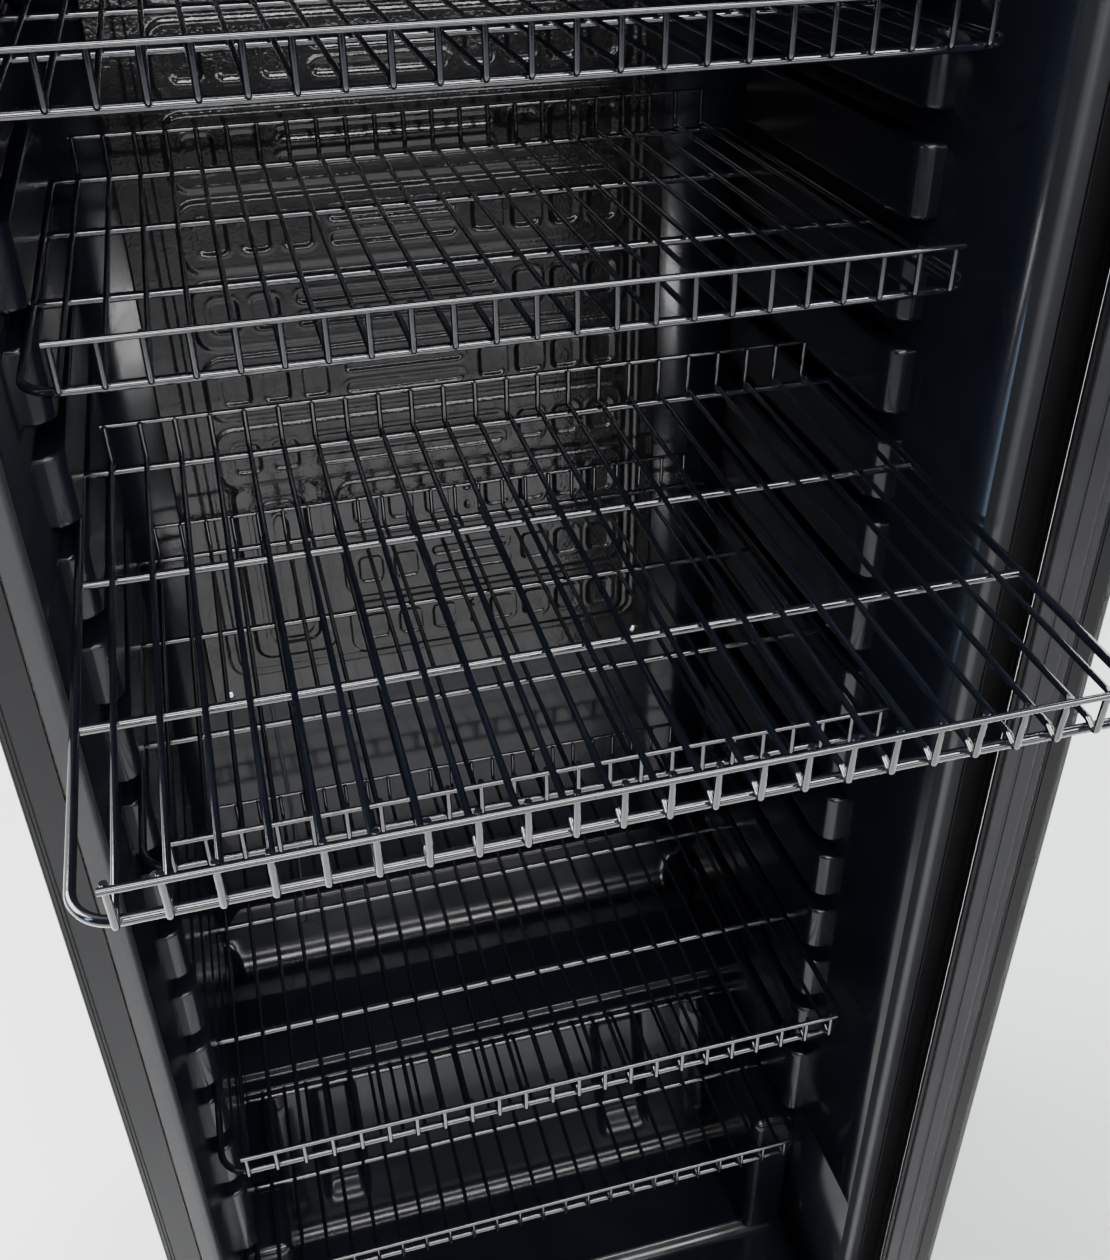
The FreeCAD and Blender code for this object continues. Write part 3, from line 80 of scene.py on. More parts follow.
def spread(tree, value, low, high):
    """Turns a noise value into the range from low to high."""
    ranged = tree.nodes.new("ShaderNodeMapRange")
    ranged.inputs["From Min"].default_value = NOISE_LOW
    ranged.inputs["From Max"].default_value = NOISE_HIGH
    ranged.inputs["To Min"].default_value = low
    ranged.inputs["To Max"].default_value = high
    tree.links.new(value, ranged.inputs["Value"])
    return ranged.outputs["Result"]


def add_bumps(tree, shader, layers):
    """Layers of (height value, depth in metres), each on top of the last."""
    normal = None
    for height, depth in layers:
        bump = tree.nodes.new("ShaderNodeBump")
        bump.inputs["Strength"].default_value = 1.0
        bump.inputs["Distance"].default_value = depth
        tree.links.new(height, bump.inputs["Height"])
        if normal:
            tree.links.new(normal, bump.inputs["Normal"])
        normal = bump.outputs["Normal"]
    tree.links.new(normal, shader.inputs["Normal"])


def finish(name, dark, light, rough, grain, depth, metallic=0.0, coat=0.0, patch=6.0, waves=None, gloss=0.5):
    """A surface that varies in colour and roughness, with fine grain in its relief.

    rough is a pair, grain is the relief's cells per metre and depth its height in metres.
    waves is an optional second relief, as (cells per metre, height), for moulded or rolled unevenness.
    """
    made, tree, shader, place = new_material(name)
    ramp = tree.nodes.new("ShaderNodeValToRGB")
    ramp.color_ramp.elements[0].position = NOISE_LOW
    ramp.color_ramp.elements[1].position = NOISE_HIGH
    ramp.color_ramp.elements[0].color = (*dark, 1)
    ramp.color_ramp.elements[1].color = (*light, 1)
    tree.links.new(noise(tree, place, patch, 5.0), ramp.inputs["Fac"])
    tree.links.new(ramp.outputs["Color"], shader.inputs["Base Color"])
    tree.links.new(spread(tree, noise(tree, place, patch * 4, 4.0), *rough), shader.inputs["Roughness"])
    layers = [(noise(tree, place, grain, 2.0), depth)]
    if waves:
        layers.append((noise(tree, place, waves[0], 1.0), waves[1]))
    add_bumps(tree, shader, layers)
    shader.inputs["Metallic"].default_value = metallic
    shader.inputs["Coat Weight"].default_value = coat
    shader.inputs["Coat Roughness"].default_value = COAT_ROUGHNESS
    shader.inputs["Specular IOR Level"].default_value = gloss
    return made


def clear_finish(name, tint, rough, smear):
    """Clear glass with faint smears in its gloss."""
    made, tree, shader, place = new_material(name)
    ramp = tree.nodes.new("ShaderNodeValToRGB")
    ramp.color_ramp.elements[0].color = (*tint, 1)
    ramp.color_ramp.elements[1].color = (*[min(1, part * 1.02) for part in tint], 1)
    tree.links.new(noise(tree, place, 3), ramp.inputs["Fac"])
    tree.links.new(ramp.outputs["Color"], shader.inputs["Base Color"])
    tree.links.new(spread(tree, noise(tree, place, smear, 4.0), *rough), shader.inputs["Roughness"])
    shader.inputs["Transmission Weight"].default_value = 1.0
    shader.inputs["IOR"].default_value = GLASS_INDEX
    return made


COAT_BLACK = finish("wire_coat", (0.0015, 0.002, 0.003), (0.003, 0.004, 0.0065), (0.08, 0.13), 900, 0.00003,
                    coat=0.5, waves=(160, 0.0001))
LINER = finish("liner_abs", (0.002, 0.0025, 0.004), (0.004, 0.005, 0.0075), (0.18, 0.26), 1400, 0.00001,
               coat=0.05, waves=(14, 0.0008), gloss=0.22)
FLANGE = finish("flange_coat", (0.006, 0.006, 0.0065), (0.009, 0.009, 0.0095), (0.3, 0.38), 2600, 0.00002,
                gloss=0.16)
STRIP = finish("strip_vinyl", (0.015, 0.0155, 0.017), (0.021, 0.0215, 0.023), (0.36, 0.44), 3000, 0.00002,
               gloss=0.25)
EVAPORATOR = finish("evaporator_coat", (0.0025, 0.0025, 0.003), (0.005, 0.005, 0.0055), (0.09, 0.15), 420,
                    0.00014,
                    coat=0.1, waves=(60, 0.0003), gloss=0.26)
CASING = finish("casing_powder_coat", (0.009, 0.009, 0.0095), (0.012, 0.012, 0.0128), (0.4, 0.45), 1500,
                0.00008,
                patch=2.5, gloss=0.2)
DOOR_COAT = finish("door_coat", (0.004, 0.004, 0.0045), (0.007, 0.007, 0.0075), (0.26, 0.34), 2000, 0.00002,
                   gloss=0.12)
GASKET = finish("gasket_vinyl", (0.010, 0.010, 0.011), (0.016, 0.016, 0.017), (0.36, 0.46), 1800, 0.00004,
                gloss=0.14)
RUBBER = finish("soft_rubber", (0.012, 0.012, 0.012), (0.022, 0.022, 0.022), (0.6, 0.75), 1200, 0.00008)
ZINC = finish("zinc_sheet", (0.36, 0.37, 0.39), (0.56, 0.57, 0.6), (0.3, 0.5), 500, 0.00003, metallic=0.9,
              patch=45)
PLASTIC = finish("moulded_black", (0.013, 0.013, 0.014), (0.02, 0.02, 0.022), (0.36, 0.5), 2600, 0.00004)
WHITE_PLASTIC = finish("moulded_white", (0.72, 0.72, 0.7), (0.8, 0.8, 0.78), (0.35, 0.45), 2200, 0.00002)
COPPER = finish("drawn_copper", (0.55, 0.24, 0.14), (0.8, 0.42, 0.28), (0.2, 0.38), 900, 0.00003,
                metallic=1.0, patch=30)
FINS = finish("bright_fins", (0.6, 0.61, 0.62), (0.8, 0.81, 0.82), (0.25, 0.4), 1500, 0.00002, metallic=1.0,
              patch=50)
POT = finish("pot_enamel", (0.008, 0.008, 0.008), (0.014, 0.014, 0.014), (0.2, 0.32), 500, 0.00008, coat=0.4)
STEEL = finish("bright_steel", (0.6, 0.6, 0.61), (0.76, 0.76, 0.78), (0.18, 0.32), 1600, 0.00002,
               metallic=1.0,
               patch=40)
SPACER = finish("anodised_spacer", (0.02, 0.02, 0.02), (0.04, 0.04, 0.04), (0.3, 0.4), 1800, 0.00002,
                metallic=0.9)
FOAM = finish("yellow_foam", (0.62, 0.5, 0.24), (0.74, 0.62, 0.34), (0.7, 0.9), 300, 0.0006)
SIGN = finish("sign_acrylic", (0.78, 0.79, 0.81), (0.86, 0.87, 0.89), (0.16, 0.26), 900, 0.00002, coat=0.3,
              patch=3)
DIFFUSER = finish("lamp_diffuser", (0.7, 0.72, 0.75), (0.8, 0.82, 0.85), (0.3, 0.45), 700, 0.0001)
BOARD = finish("led_board", (0.68, 0.68, 0.62), (0.78, 0.78, 0.72), (0.4, 0.5), 800, 0.00004)
GLASS = clear_finish("door_glass", (0.95, 0.975, 0.97), (0.0, 0.03), 8)

SLOT_FINISH = {
    "black_steel": CASING, "flange_steel": FLANGE, "zinc_steel": ZINC, "liner_abs": LINER,
    "strip_vinyl": STRIP,
    "foam": FOAM, "coated_wire": COAT_BLACK, "evaporator_coat": EVAPORATOR, "copper": COPPER,
    "pot_black": POT,
    "black_plastic": PLASTIC, "white_plastic": WHITE_PLASTIC, "sign_acrylic": SIGN, "lamp_diffuser": DIFFUSER,
    "led_board": BOARD, "fin_aluminium": FINS, "door_profile": DOOR_COAT, "pane": GLASS,
    "spacer_metal": SPACER,
    "gasket_vinyl": GASKET, "lock_metal": STEEL, "pin_steel": STEEL, "soft_rubber": RUBBER,
}
for part in frame["record"]["subparts"]:
    surfaces = NODES[part["node"]].data.materials
    surfaces.clear()
    surfaces.append(SLOT_FINISH[part["material_slot"]])

# ---- shape builders


def put(name, data):
    """Adds an object to the scene."""
    made = bpy.data.objects.new(name, data)
    bpy.context.scene.collection.objects.link(made)
    return made


def piece(name, data, surface, body, slot, nodes=(), smooth=None):
    """Puts a mesh or curve in the scene as one named piece that rides on a body."""
    made = put(name, data)
    data.materials.append(SLOT_FINISH[slot] if surface is None else surface)
    if smooth is not None:
        for face in data.polygons:
            face.use_smooth = True
        data.set_sharp_from_angle(angle=math.radians(smooth))
    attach(made, body)
    if nodes:
        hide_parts(*nodes)
    return made


class Shape:
    """Collects the solids of one piece in one mesh."""

    def __init__(self):
        self.mesh = bmesh.new()

    def block(self, low, high, edge=0.0008, segments=2):
        low, high = Vector(low), Vector(high)
        made = bmesh.ops.create_cube(self.mesh, size=1.0)["verts"]
        middle = (low + high) / 2
        for vertex in made:
            vertex.co = Vector([vertex.co[axis] * (high - low)[axis] for axis in range(3)]) + middle
        edges = list({line for vertex in made for line in vertex.link_edges})
        bmesh.ops.bevel(self.mesh, geom=edges, offset=edge, segments=segments, affect="EDGES", profile=0.5)

    def rod(self, start, end, radius, sides=24):
        start, end = Vector(start), Vector(end)
        turn = (end - start).to_track_quat("Z", "Y").to_matrix().to_4x4()
        matrix = Matrix.Translation((start + end) / 2) @ turn
        made = bmesh.ops.create_cone(self.mesh, cap_ends=True, segments=sides, radius1=radius, radius2=radius,
                                     depth=(end - start).length, matrix=matrix)["verts"]
        rims = [line for line in {line for vertex in made for line in vertex.link_edges}
                if any(len(face.verts) > 4 for face in line.link_faces)]
        bmesh.ops.bevel(self.mesh, geom=rims, offset=min(radius, (end - start).length) * 0.12, segments=2,
                        affect="EDGES", profile=0.5)

    def ball(self, centre, radius, squash=1.0):
        matrix = Matrix.Translation(centre) @ Matrix.Diagonal((1, 1, squash, 1))
        bmesh.ops.create_icosphere(self.mesh, subdivisions=2, radius=radius, matrix=matrix)

    def grid(self, rows, loop_rows=False, loop_columns=False):
        """Joins rows of points, each of the same length, with four-sided faces."""
        corners = [[self.mesh.verts.new(point) for point in row] for row in rows]
        height, width = len(corners), len(corners[0])
        for i in range(height if loop_rows else height - 1):
            for j in range(width if loop_columns else width - 1):
                after, beside = (i + 1) % height, (j + 1) % width
                self.mesh.faces.new((corners[i][j], corners[i][beside], corners[after][beside],
                                     corners[after][j]))

    def prism(self, outline, direction, edge=0.0, segments=2):
        """A closed outline of points drawn out along a direction, with its end edges rounded."""
        direction = Vector(direction)
        near = [self.mesh.verts.new(point) for point in outline]
        far = [self.mesh.verts.new(Vector(point) + direction) for point in outline]
        caps = [self.mesh.faces.new(near[::-1]), self.mesh.faces.new(far)]
        for index in range(len(near)):
            beside = (index + 1) % len(near)
            self.mesh.faces.new((near[index], near[beside], far[beside], far[index]))
        if edge:
            rims = list({line for cap in caps for line in cap.edges})
            bmesh.ops.bevel(self.mesh, geom=rims, offset=edge, segments=segments, affect="EDGES", profile=0.5)

    def ring(self, low, high, profile):
        """Sweeps a closed profile of (inwards, y) round an upright rectangle from (x, z) low to high."""
        rows = []
        for side, end in ((-1, -1), (1, -1), (1, 1), (-1, 1)):
            row = []
            for inwards, y in profile:
                x = low[0] + inwards if side < 0 else high[0] - inwards
                z = low[1] + inwards if end < 0 else high[1] - inwards
                row.append((x, y, z))
            rows.append(row)
        self.grid(rows, loop_rows=True, loop_columns=True)

    def turned(self, profile, centre, axis="Z", sides=40):
        """A profile of (radius, height) turned about an axis through centre."""
        rows = []
        for index in range(sides):
            angle = 2 * math.pi * index / sides
            row = []
            for radius, height in profile:
                u, v = radius * math.cos(angle), radius * math.sin(angle)
                offset = {"Z": (u, v, height), "Y": (u, height, v)}[axis]
                row.append(Vector(centre) + Vector(offset))
            rows.append(row)
        self.grid(rows, loop_rows=True)

    def done(self, name, slot, body="cabinet", nodes=(), surface=None, smooth=32, matrix=None, level=True):
        """Closes the collection and puts it in the scene."""
        bmesh.ops.remove_doubles(self.mesh, verts=self.mesh.verts, dist=1e-6)
        bmesh.ops.recalc_face_normals(self.mesh, faces=self.mesh.faces)
        if matrix:
            self.mesh.transform(matrix)
        data = bpy.data.meshes.new(name)
        self.mesh.to_mesh(data)
        self.mesh.free()
        made = piece(name, data, surface, body, slot, nodes, smooth)
        if level:
            weighted = made.modifiers.new("flat_faces", "WEIGHTED_NORMAL")
            weighted.keep_sharp = True
        return made


def thicken(sheet, gauge, offset):
    """Gives an open sheet its thickness, to one side."""
    solid = sheet.modifiers.new("gauge", "SOLIDIFY")
    solid.thickness = gauge
    solid.offset = offset


def bent(points, bend, steps=6):
    """A path with an arc of one radius in place of each inner corner."""
    points = [Vector(point) for point in points]
    path = [points[0]]
    for before, corner, after in zip(points, points[1:], points[2:]):
        into, out = (corner - before).normalized(), (after - corner).normalized()
        half = into.angle(out) / 2
        middle = corner + (out - into).normalized() * bend / math.cos(half)
        start = corner - into * bend * math.tan(half)
        axis = into.cross(out).normalized()
        for step in range(steps + 1):
            turn = Matrix.Rotation(2 * half * step / steps, 3, axis)
            path.append(middle + turn @ (start - middle))
    path.append(points[-1])
    return path


def wires(name, runs, slot, body, nodes, matrix=None, sides=3):
    """Round wires along paths, as one curve. runs holds pairs of a path and a radius."""
    curve = bpy.data.curves.new(name, "CURVE")
    curve.dimensions = "3D"
    curve.bevel_depth = MM
    curve.bevel_resolution = sides
    curve.use_fill_caps = True
    for path, radius in runs:
        line = curve.splines.new("POLY")
        line.points.add(len(path) - 1)
        for point, spot in zip(line.points, path):
            point.co = (*spot, 1)
            point.radius = radius / MM
        line.use_smooth = True
    if matrix:
        curve.transform(matrix)
    return piece(name, curve, None, body, slot, nodes)


# ---- sizes read from the frame
liner_low, liner_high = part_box("liner")
GAUGE = 2.5 * MM
WALL = liner_high.x - GAUGE
REAR = liner_high.y - GAUGE
FLOOR = liner_low.z + GAUGE
CEILING = liner_high.z - GAUGE
LINER_FRONT = liner_low.y
panel_low, panel_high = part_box("left_panel")
SIDE = -panel_low.x
FRONT, BACK = panel_low.y, panel_high.y
BODY_TOP = panel_high.z

# ---- wire shelves
BAR = 2.5 * MM
WIRE = 1.7 * MM
STUB = 5.5 * MM
RAIL_STEP = 1.8 * WIRE
FENCE = 26 * MM
WIRE_LEVEL = BAR + WIRE
WIRE_COUNT = 23
DIP = 0.6 * MM


def shelf_matrix(number, tilt):
    """Places a shelf drawn with its back bar on the X axis."""
    low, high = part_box(f"shelf_{number}_deck")
    rear_stub = STUB if number < 6 else BAR
    top = WIRE_LEVEL + WIRE
    back = high.y - rear_stub * math.cos(tilt) + BAR * math.sin(tilt)
    level = high.z - rear_stub * math.sin(tilt) - top * math.cos(tilt)
    return Matrix.Translation((0, back, level)) @ Matrix.Rotation(tilt, 4, "X")


def shelf(number):
    """One shelf: a bent U frame, cross bars, lengthwise wires turned up at the ends, and fence rails."""
    tilt = 0.0
    for joint in frame["joints"]:
        if joint["name"] == f"shelf_{number}_slide":
            tilt = math.atan2(-joint["axis"][2], -joint["axis"][1])
    low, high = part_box(f"shelf_{number}_deck")
    half = high.x - 2 * BAR + 0.6 * MM
    length = (high.y - low.y) / math.cos(tilt)
    full = number < 6
    depth = round(length - STUB - (STUB if full else BAR), 3)
    bars = 3 if full else 2
    runs = [(bent([(-half, 0, 0), (-half, -depth, 0), (half, -depth, 0), (half, 0, 0)], 0.02, 12), BAR)]
    for index in range(bars):
        y = -depth * index / bars
        runs.append(([(-half + BAR, y, 0), (half - BAR, y, 0)], BAR))
    reach = half - 18 * MM
    front, rear = -depth - STUB, STUB
    columns = [-reach + 2 * reach * index / (WIRE_COUNT - 1) for index in range(WIRE_COUNT)]
    for x in columns:
        path = [(x, front, FENCE + 0.6 * WIRE), (x, front, DIP), (x, -depth + 2 * MM, WIRE_LEVEL)]
        if full:
            path += [(x, -MM, WIRE_LEVEL), (x, rear, DIP), (x, rear, FENCE + 0.6 * WIRE)]
        else:
            path.append((x, BAR, WIRE_LEVEL))
        runs.append((bent(path, 1.9 * MM, 5), WIRE))
    rails = [(front - RAIL_STEP, FENCE)] + ([(rear + RAIL_STEP, FENCE)] if full else [])
    for y, z in rails:
        end = reach + WIRE + 0.8 * MM
        runs.append(([(-end, y, z), (end, y, z)], WIRE))
    matrix = shelf_matrix(number, tilt)
    body = f"shelf_{number}"
    nodes = (f"shelf_{number}_deck", f"shelf_{number}_fences")
    wires(f"shelf_{number}_wirework", runs, "coated_wire", body, nodes, matrix)
    welds = Shape()
    for x in columns:
        for index in range(bars + 1):
            welds.ball((x, -depth * index / bars, BAR), 1.55 * MM, 0.9)
        for y, z in rails:
            welds.ball((x, y + (RAIL_STEP / 2 if y < 0 else -RAIL_STEP / 2), z), 1.25 * MM)
    welds.done(f"shelf_{number}_welds", "coated_wire", body, matrix=matrix)


for number in range(1, 7):
    shelf(number)

# ---- liner
RIB_PITCH = 0.06
RIB_HEIGHT = 0.043
RIB_REACH = 0.016
RIB_FRONT = FRONT + 0.117
RIB_BACK = REAR - 0.075
LOWEST_RIB = 0.45
RIB_COUNT = 18
TALL_RIB = 0.079
LEDGE_TOP = 0.351
LEDGE_REACH = 0.041
TROUGH_TOP = 0.43
CORNER = 0.045


def arc(centre, radius, start, stop, steps=8):
    """Points on an arc in a plane, from start to stop degrees."""
    points = []
    for step in range(steps + 1):
        angle = math.radians(start + (stop - start) * step / steps)
        points.append((centre[0] + radius * math.cos(angle), centre[1] + radius * math.sin(angle)))
    return points


def rib_plan(side):
    """One rib seen from above: square to the wall, with a full round at its front end."""
    inner = WALL - RIB_REACH
    turn = arc((inner + 11 * MM, RIB_FRONT + 11 * MM), 11 * MM, 180, 270, 6)
    plan = [(WALL + MM, RIB_FRONT)] + turn[::-1]
    plan += [(inner, RIB_BACK - RIB_REACH), (WALL - 2 * MM, RIB_BACK), (WALL + MM, RIB_BACK)]
    return [(side * x, y) for x, y in plan]


def liner_walls():
    """The upright wrap of side walls and back wall, with large rounds in the back corners."""
    half = [(WALL, LINER_FRONT)] + [(WALL, LINER_FRONT + 0.03 * step) for step in range(1, 13)]
    half += arc((WALL - CORNER, REAR - CORNER), CORNER, 0, 90, 12)
    plan = half + [(-x, y) for x, y in half[::-1]]
    shell = Shape()
    levels = [TROUGH_TOP - 0.06, TROUGH_TOP, CEILING]
    shell.grid([[(x, y, z) for x, y in plan] for z in levels])
    for side in (-1, 1):
        lower = [(side * WALL, y) for y in (LINER_FRONT, RIB_FRONT, 0.0, REAR - CORNER)]
        shell.grid([[(x, y, z) for x, y in lower] for z in (FLOOR, TROUGH_TOP - 0.06)])
    walls = shell.done("liner_walls", "liner_abs", nodes=("liner",), level=False)
    thicken(walls, GAUGE * 0.9, 1.0)


def liner_ribs():
    ribs = Shape()
    for side in (-1, 1):
        plan = rib_plan(side)
        for index in range(RIB_COUNT):
            height = TALL_RIB if index == 0 else RIB_HEIGHT
            low = LOWEST_RIB + index * RIB_PITCH - height
            ribs.prism([(x, y, low) for x, y in plan], (0, 0, height), 3.2 * MM, 3)
        outer = side * (WALL + MM)
        inner = side * (WALL - LEDGE_REACH)
        ribs.block((min(outer, inner), RIB_FRONT + 5 * MM, FLOOR - MM), (max(outer, inner), 0.03, LEDGE_TOP),
                   9 * MM, 4)
    ribs.done("liner_ribs", "liner_abs", smooth=50)


def smooth_step(value, low, high):
    """0 below low, 1 above high and a smooth turn between. Works on numbers and arrays."""
    share = np.clip((value - low) / (high - low), 0, 1)
    return share * share * (3 - 2 * share)


HUMP_PROFILE = [  # (y, z) from the floor to the back wall, with the round at each corner
    ((-0.12, 0.180), 0.0), ((-0.013, 0.180), 0.022), ((0.032, 0.355), 0.007), ((0.046, 0.356), 0.004),
    ((0.050, 0.361), 0.003), ((0.124, 0.381), 0.012), ((0.139, 0.389), 0.006), ((0.148, 0.387), 0.005),
    ((0.152, 0.369), 0.012), ((0.172, 0.369), 0.030), ((REAR - 0.0005, 0.432), 0.0),
]


def rounded_path(corners, steps=6):
    """A flat path with an arc at each corner, evenly refined."""
    spots = [Vector((0, *point)) for point, _ in corners]
    path = [spots[0]]
    for index in range(1, len(spots) - 1):
        path += bent([spots[index - 1], spots[index], spots[index + 1]], max(corners[index][1], 1e-4),
                     steps)[1:-1]
    path.append(spots[-1])
    refined = [path[0]]
    for start, end in zip(path, path[1:]):
        parts = max(1, int((end - start).length / 0.006))
        refined += [start.lerp(end, (part + 1) / parts) for part in range(parts)]
    return [(point.y, point.z) for point in refined]


POCKETS = ((0.107, 0.15), (-0.178, -0.143))  # left and right edges, in the step's face
POCKET_DEPTH = 0.014


def liner_hump():
    """The moulded floor, step and drain trough, drawn across the whole width."""
    profile = np.array(rounded_path(HUMP_PROFILE))
    columns = np.linspace(-WALL, WALL, 180)
    ys, zs = profile[:, 0], profile[:, 1]
    rows = []
    for x in columns:
        y, z = ys.copy(), zs.copy()
        inward = abs(x)
        # the lip and trough end short of the side walls
        end = smooth_step(inward, 0.226, 0.242)
        plain = 0.361 + (y - 0.05) * 0.27
        behind = (y > 0.05) & (y < REAR - 0.02)
        z = np.where(behind, z * (1 - end) + np.maximum(plain, z) * end, z)
        # two upright pockets in the step's face
        face = smooth_step(z, 0.205, 0.225) * (1 - smooth_step(z, 0.335, 0.347)) * (y < 0.045)
        for low, high in POCKETS:
            window = smooth_step(x, low - 0.006, low + 0.004) * (1 - smooth_step(x, high - 0.004,
                                                                                 high + 0.006))
            y = y + POCKET_DEPTH * window * face
        # the step's face rounds into the side walls
        rim = smooth_step(inward, 0.196, 0.2125)
        y = y - 0.006 * rim * face
        rows.append([(x, py, pz) for py, pz in zip(y, z)])
    hump = Shape()
    hump.grid(rows)
    hump.grid([[(x, y, FLOOR) for y in np.linspace(LINER_FRONT, -0.12, 8)] for x in columns[::6]] +
              [[(WALL, y, FLOOR) for y in np.linspace(LINER_FRONT, -0.12, 8)]])
    made = hump.done("liner_floor_and_hump", "liner_abs", smooth=60, level=False)
    thicken(made, GAUGE * 0.9, -1.0)


def liner_ceiling():
    top = Shape()
    top.block((-WALL - MM, LINER_FRONT, CEILING), (WALL + MM, REAR + MM, CEILING + GAUGE * 0.9), 0.5 * MM)
    top.done("liner_ceiling", "liner_abs")


liner_walls()
liner_ribs()
liner_hump()
liner_ceiling()


def foam():
    """Foam between the casing and the liner. The step has none, because it would show in the pockets."""
    low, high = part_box("insulation")
    outer, top = WALL + GAUGE, CEILING + GAUGE
    blocks = Shape()
    for side in (-1, 1):
        inner, edge = side * outer, side * high.x
        blocks.block((min(inner, edge), low.y, low.z), (max(inner, edge), high.y, high.z), 2 * MM)
    blocks.block((-outer, REAR + GAUGE, 0.326), (outer, high.y, high.z), 2 * MM)
    blocks.block((-outer, low.y, top), (outer, REAR, high.z), 2 * MM)
    blocks.block((-outer, low.y, low.z), (outer, 0.005, FLOOR - 1.2 * GAUGE), 2 * MM)
    blocks.done("foam_filling", "foam", nodes=("insulation",))


foam()

# ---- evaporator plate


def rounded_gap(x, z, centre, half, round_by):
    """Signed distance to a rounded rectangle, negative inside."""
    across = np.abs(x - centre[0]) - half[0] + round_by
    up = np.abs(z - centre[1]) - half[1] + round_by
    outside = np.hypot(np.maximum(across, 0), np.maximum(up, 0))
    return outside + np.minimum(np.maximum(across, up), 0) - round_by


def evaporator():
    """A roll-bonded plate: raised refrigerant passages round bonded islands, each with a crisp bead."""
    low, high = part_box("evaporator_plate")
    rise = 1.5 * MM
    face = low.y + rise + 0.1 * MM
    step = 0.0017
    xs = np.append(np.arange(low.x, high.x - step / 2, step), high.x)
    zs = np.append(np.arange(low.z, high.z - step / 2, step), high.z)
    x, z = np.meshgrid(xs, zs)
    height = np.zeros_like(x)
    beads = np.zeros_like(x)

    def stamp(centre, half, round_by, sign):
        """Raises or sinks a rounded rectangle and runs a bead round its edge."""
        nonlocal height, beads
        gap = rounded_gap(x, z, centre, half, round_by)
        inside = 1 - smooth_step(gap, -0.0016, 0.0008)
        height = np.maximum(height, inside) if sign > 0 else height * (1 - inside)
        beads = np.maximum(beads, 1 - smooth_step(np.abs(gap), 0.0006, 0.0022))

    bottom = low.z + 0.03
    pitch, spacing = 0.06, 0.031  # of the rows, and of the islands along a row
    right, last, lead = 0.175, 0.155, 0.022  # a row's end, its last island, and its first from the left end
    for row in range(int((high.z - bottom - 0.04) / pitch)):
        level = bottom + 0.035 + row * pitch
        left = -0.165 if row > 2 else -0.075
        stamp(((left + right) / 2, level), ((right - left) / 2, 0.0255), 0.013, 1)
        counts = (3 - row % 2, 4 - row % 2)
        for side, start, count in ((-1, left + lead, counts[0]), (1, last, counts[1])):
            for index in range(count):
                stamp((start - side * index * spacing, level), (0.0115, 0.0135), 0.006, -1)
        middle_left = left + lead + counts[0] * spacing - 0.008
        middle_right = last - counts[1] * spacing + 0.008
        for lift in (-0.009, 0.009):
            stamp(((middle_left + middle_right) / 2, level + lift),
                  ((middle_right - middle_left) / 2, 0.0052), 0.005, -1)
    for inset, sign in ((0, 1), (0.011, -1), (0.018, 1), (0.027, -1)):
        stamp((-0.125, bottom + 0.105), (0.034 - inset, 0.085 - inset), 0.012, sign)
    border = rounded_gap(x, z, (0.003, (bottom + high.z) / 2), (0.186, (high.z - bottom) / 2 - 0.004), 0.016)
    for offset in (0.0, 0.007):
        beads = np.maximum(beads, 1 - smooth_step(np.abs(border + offset), 0.0006, 0.0024))
    rng = np.random.default_rng(4)
    ripple = sum(np.sin(x * a + z * b + c) for a, b, c in rng.uniform(-160, 160, (9, 3))) / 9
    y = face - rise * (0.62 * height + 0.38 * beads) + 0.0001 * ripple
    rows = [[(px, py, pz) for px, py, pz in zip(*line)] for line in zip(x, y, z)]
    plate = Shape()
    plate.grid(rows)
    made = plate.done("evaporator_rolled_plate", "evaporator_coat", nodes=("evaporator_plate",), smooth=80,
                      level=False)
    thicken(made, 1.2 * MM, -1.0)


def evaporator_screws():
    """Domed bright screws on spacers that hold the plate off the wall."""
    low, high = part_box("evaporator_fasteners")
    plate_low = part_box("evaporator_plate")[0]
    inset = 4.5 * MM
    screws = Shape()
    for x in (low.x + 6 * MM, high.x - 6 * MM):
        for z in (low.z + 6 * MM, high.z - 6 * MM):
            front = low.y + 0.1 * MM
            face = front + 2.4 * MM
            screws.turned([(0, front), (2 * MM, front + 0.15 * MM), (3.6 * MM, front + 0.8 * MM),
                           (inset, face - 0.5 * MM),
                           (6 * MM, face - 0.4 * MM), (6 * MM, face), (3 * MM, face)], (x, 0, z), "Y", 28)
            screws.turned([(0, face + 1.8 * MM), (6 * MM, face + 1.8 * MM), (6 * MM, high.y), (0, high.y)],
                          (x, 0, z), "Y", 28)
    screws.done("evaporator_screws", "pin_steel", nodes=("evaporator_fasteners",))


def drain_strip():
    """The probe lead down the wall, ending in a slotted oval tab over the trough."""
    low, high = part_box("drain_strip")
    x = (low.x + high.x) / 2
    y = (low.y + high.y) / 2
    wide, top = 9.6 * MM, low.z + 34 * MM
    tab = Shape()
    outer, inner = [], []
    for centre, start in ((top - wide, 0), (low.z + wide, 180)):
        outer += [(x + px, pz) for px, pz in arc((0, centre), wide, start, start + 180, 12)]
        inner += [(x + px, pz) for px, pz in arc((0, centre), 3 * MM, start, start + 180, 12)]
    rows = [[(px, level, pz) for px, pz in loop] for level, loop in
            ((low.y + 0.5 * MM, inner), (low.y, outer), (high.y, outer), (high.y, inner))]
    tab.grid(rows, loop_rows=True, loop_columns=True)
    tab.done("drain_tab", "black_plastic", nodes=("drain_strip",))
    lead = [(x, y, top - MM), (x, y, top + 0.05), (x + 3 * MM, y, top + 0.13), (x, y, high.z)]
    wires("probe_lead", [(bent(lead, 0.03, 6), 1.4 * MM)], "black_plastic", "cabinet", ())


evaporator()
evaporator_screws()
drain_strip()

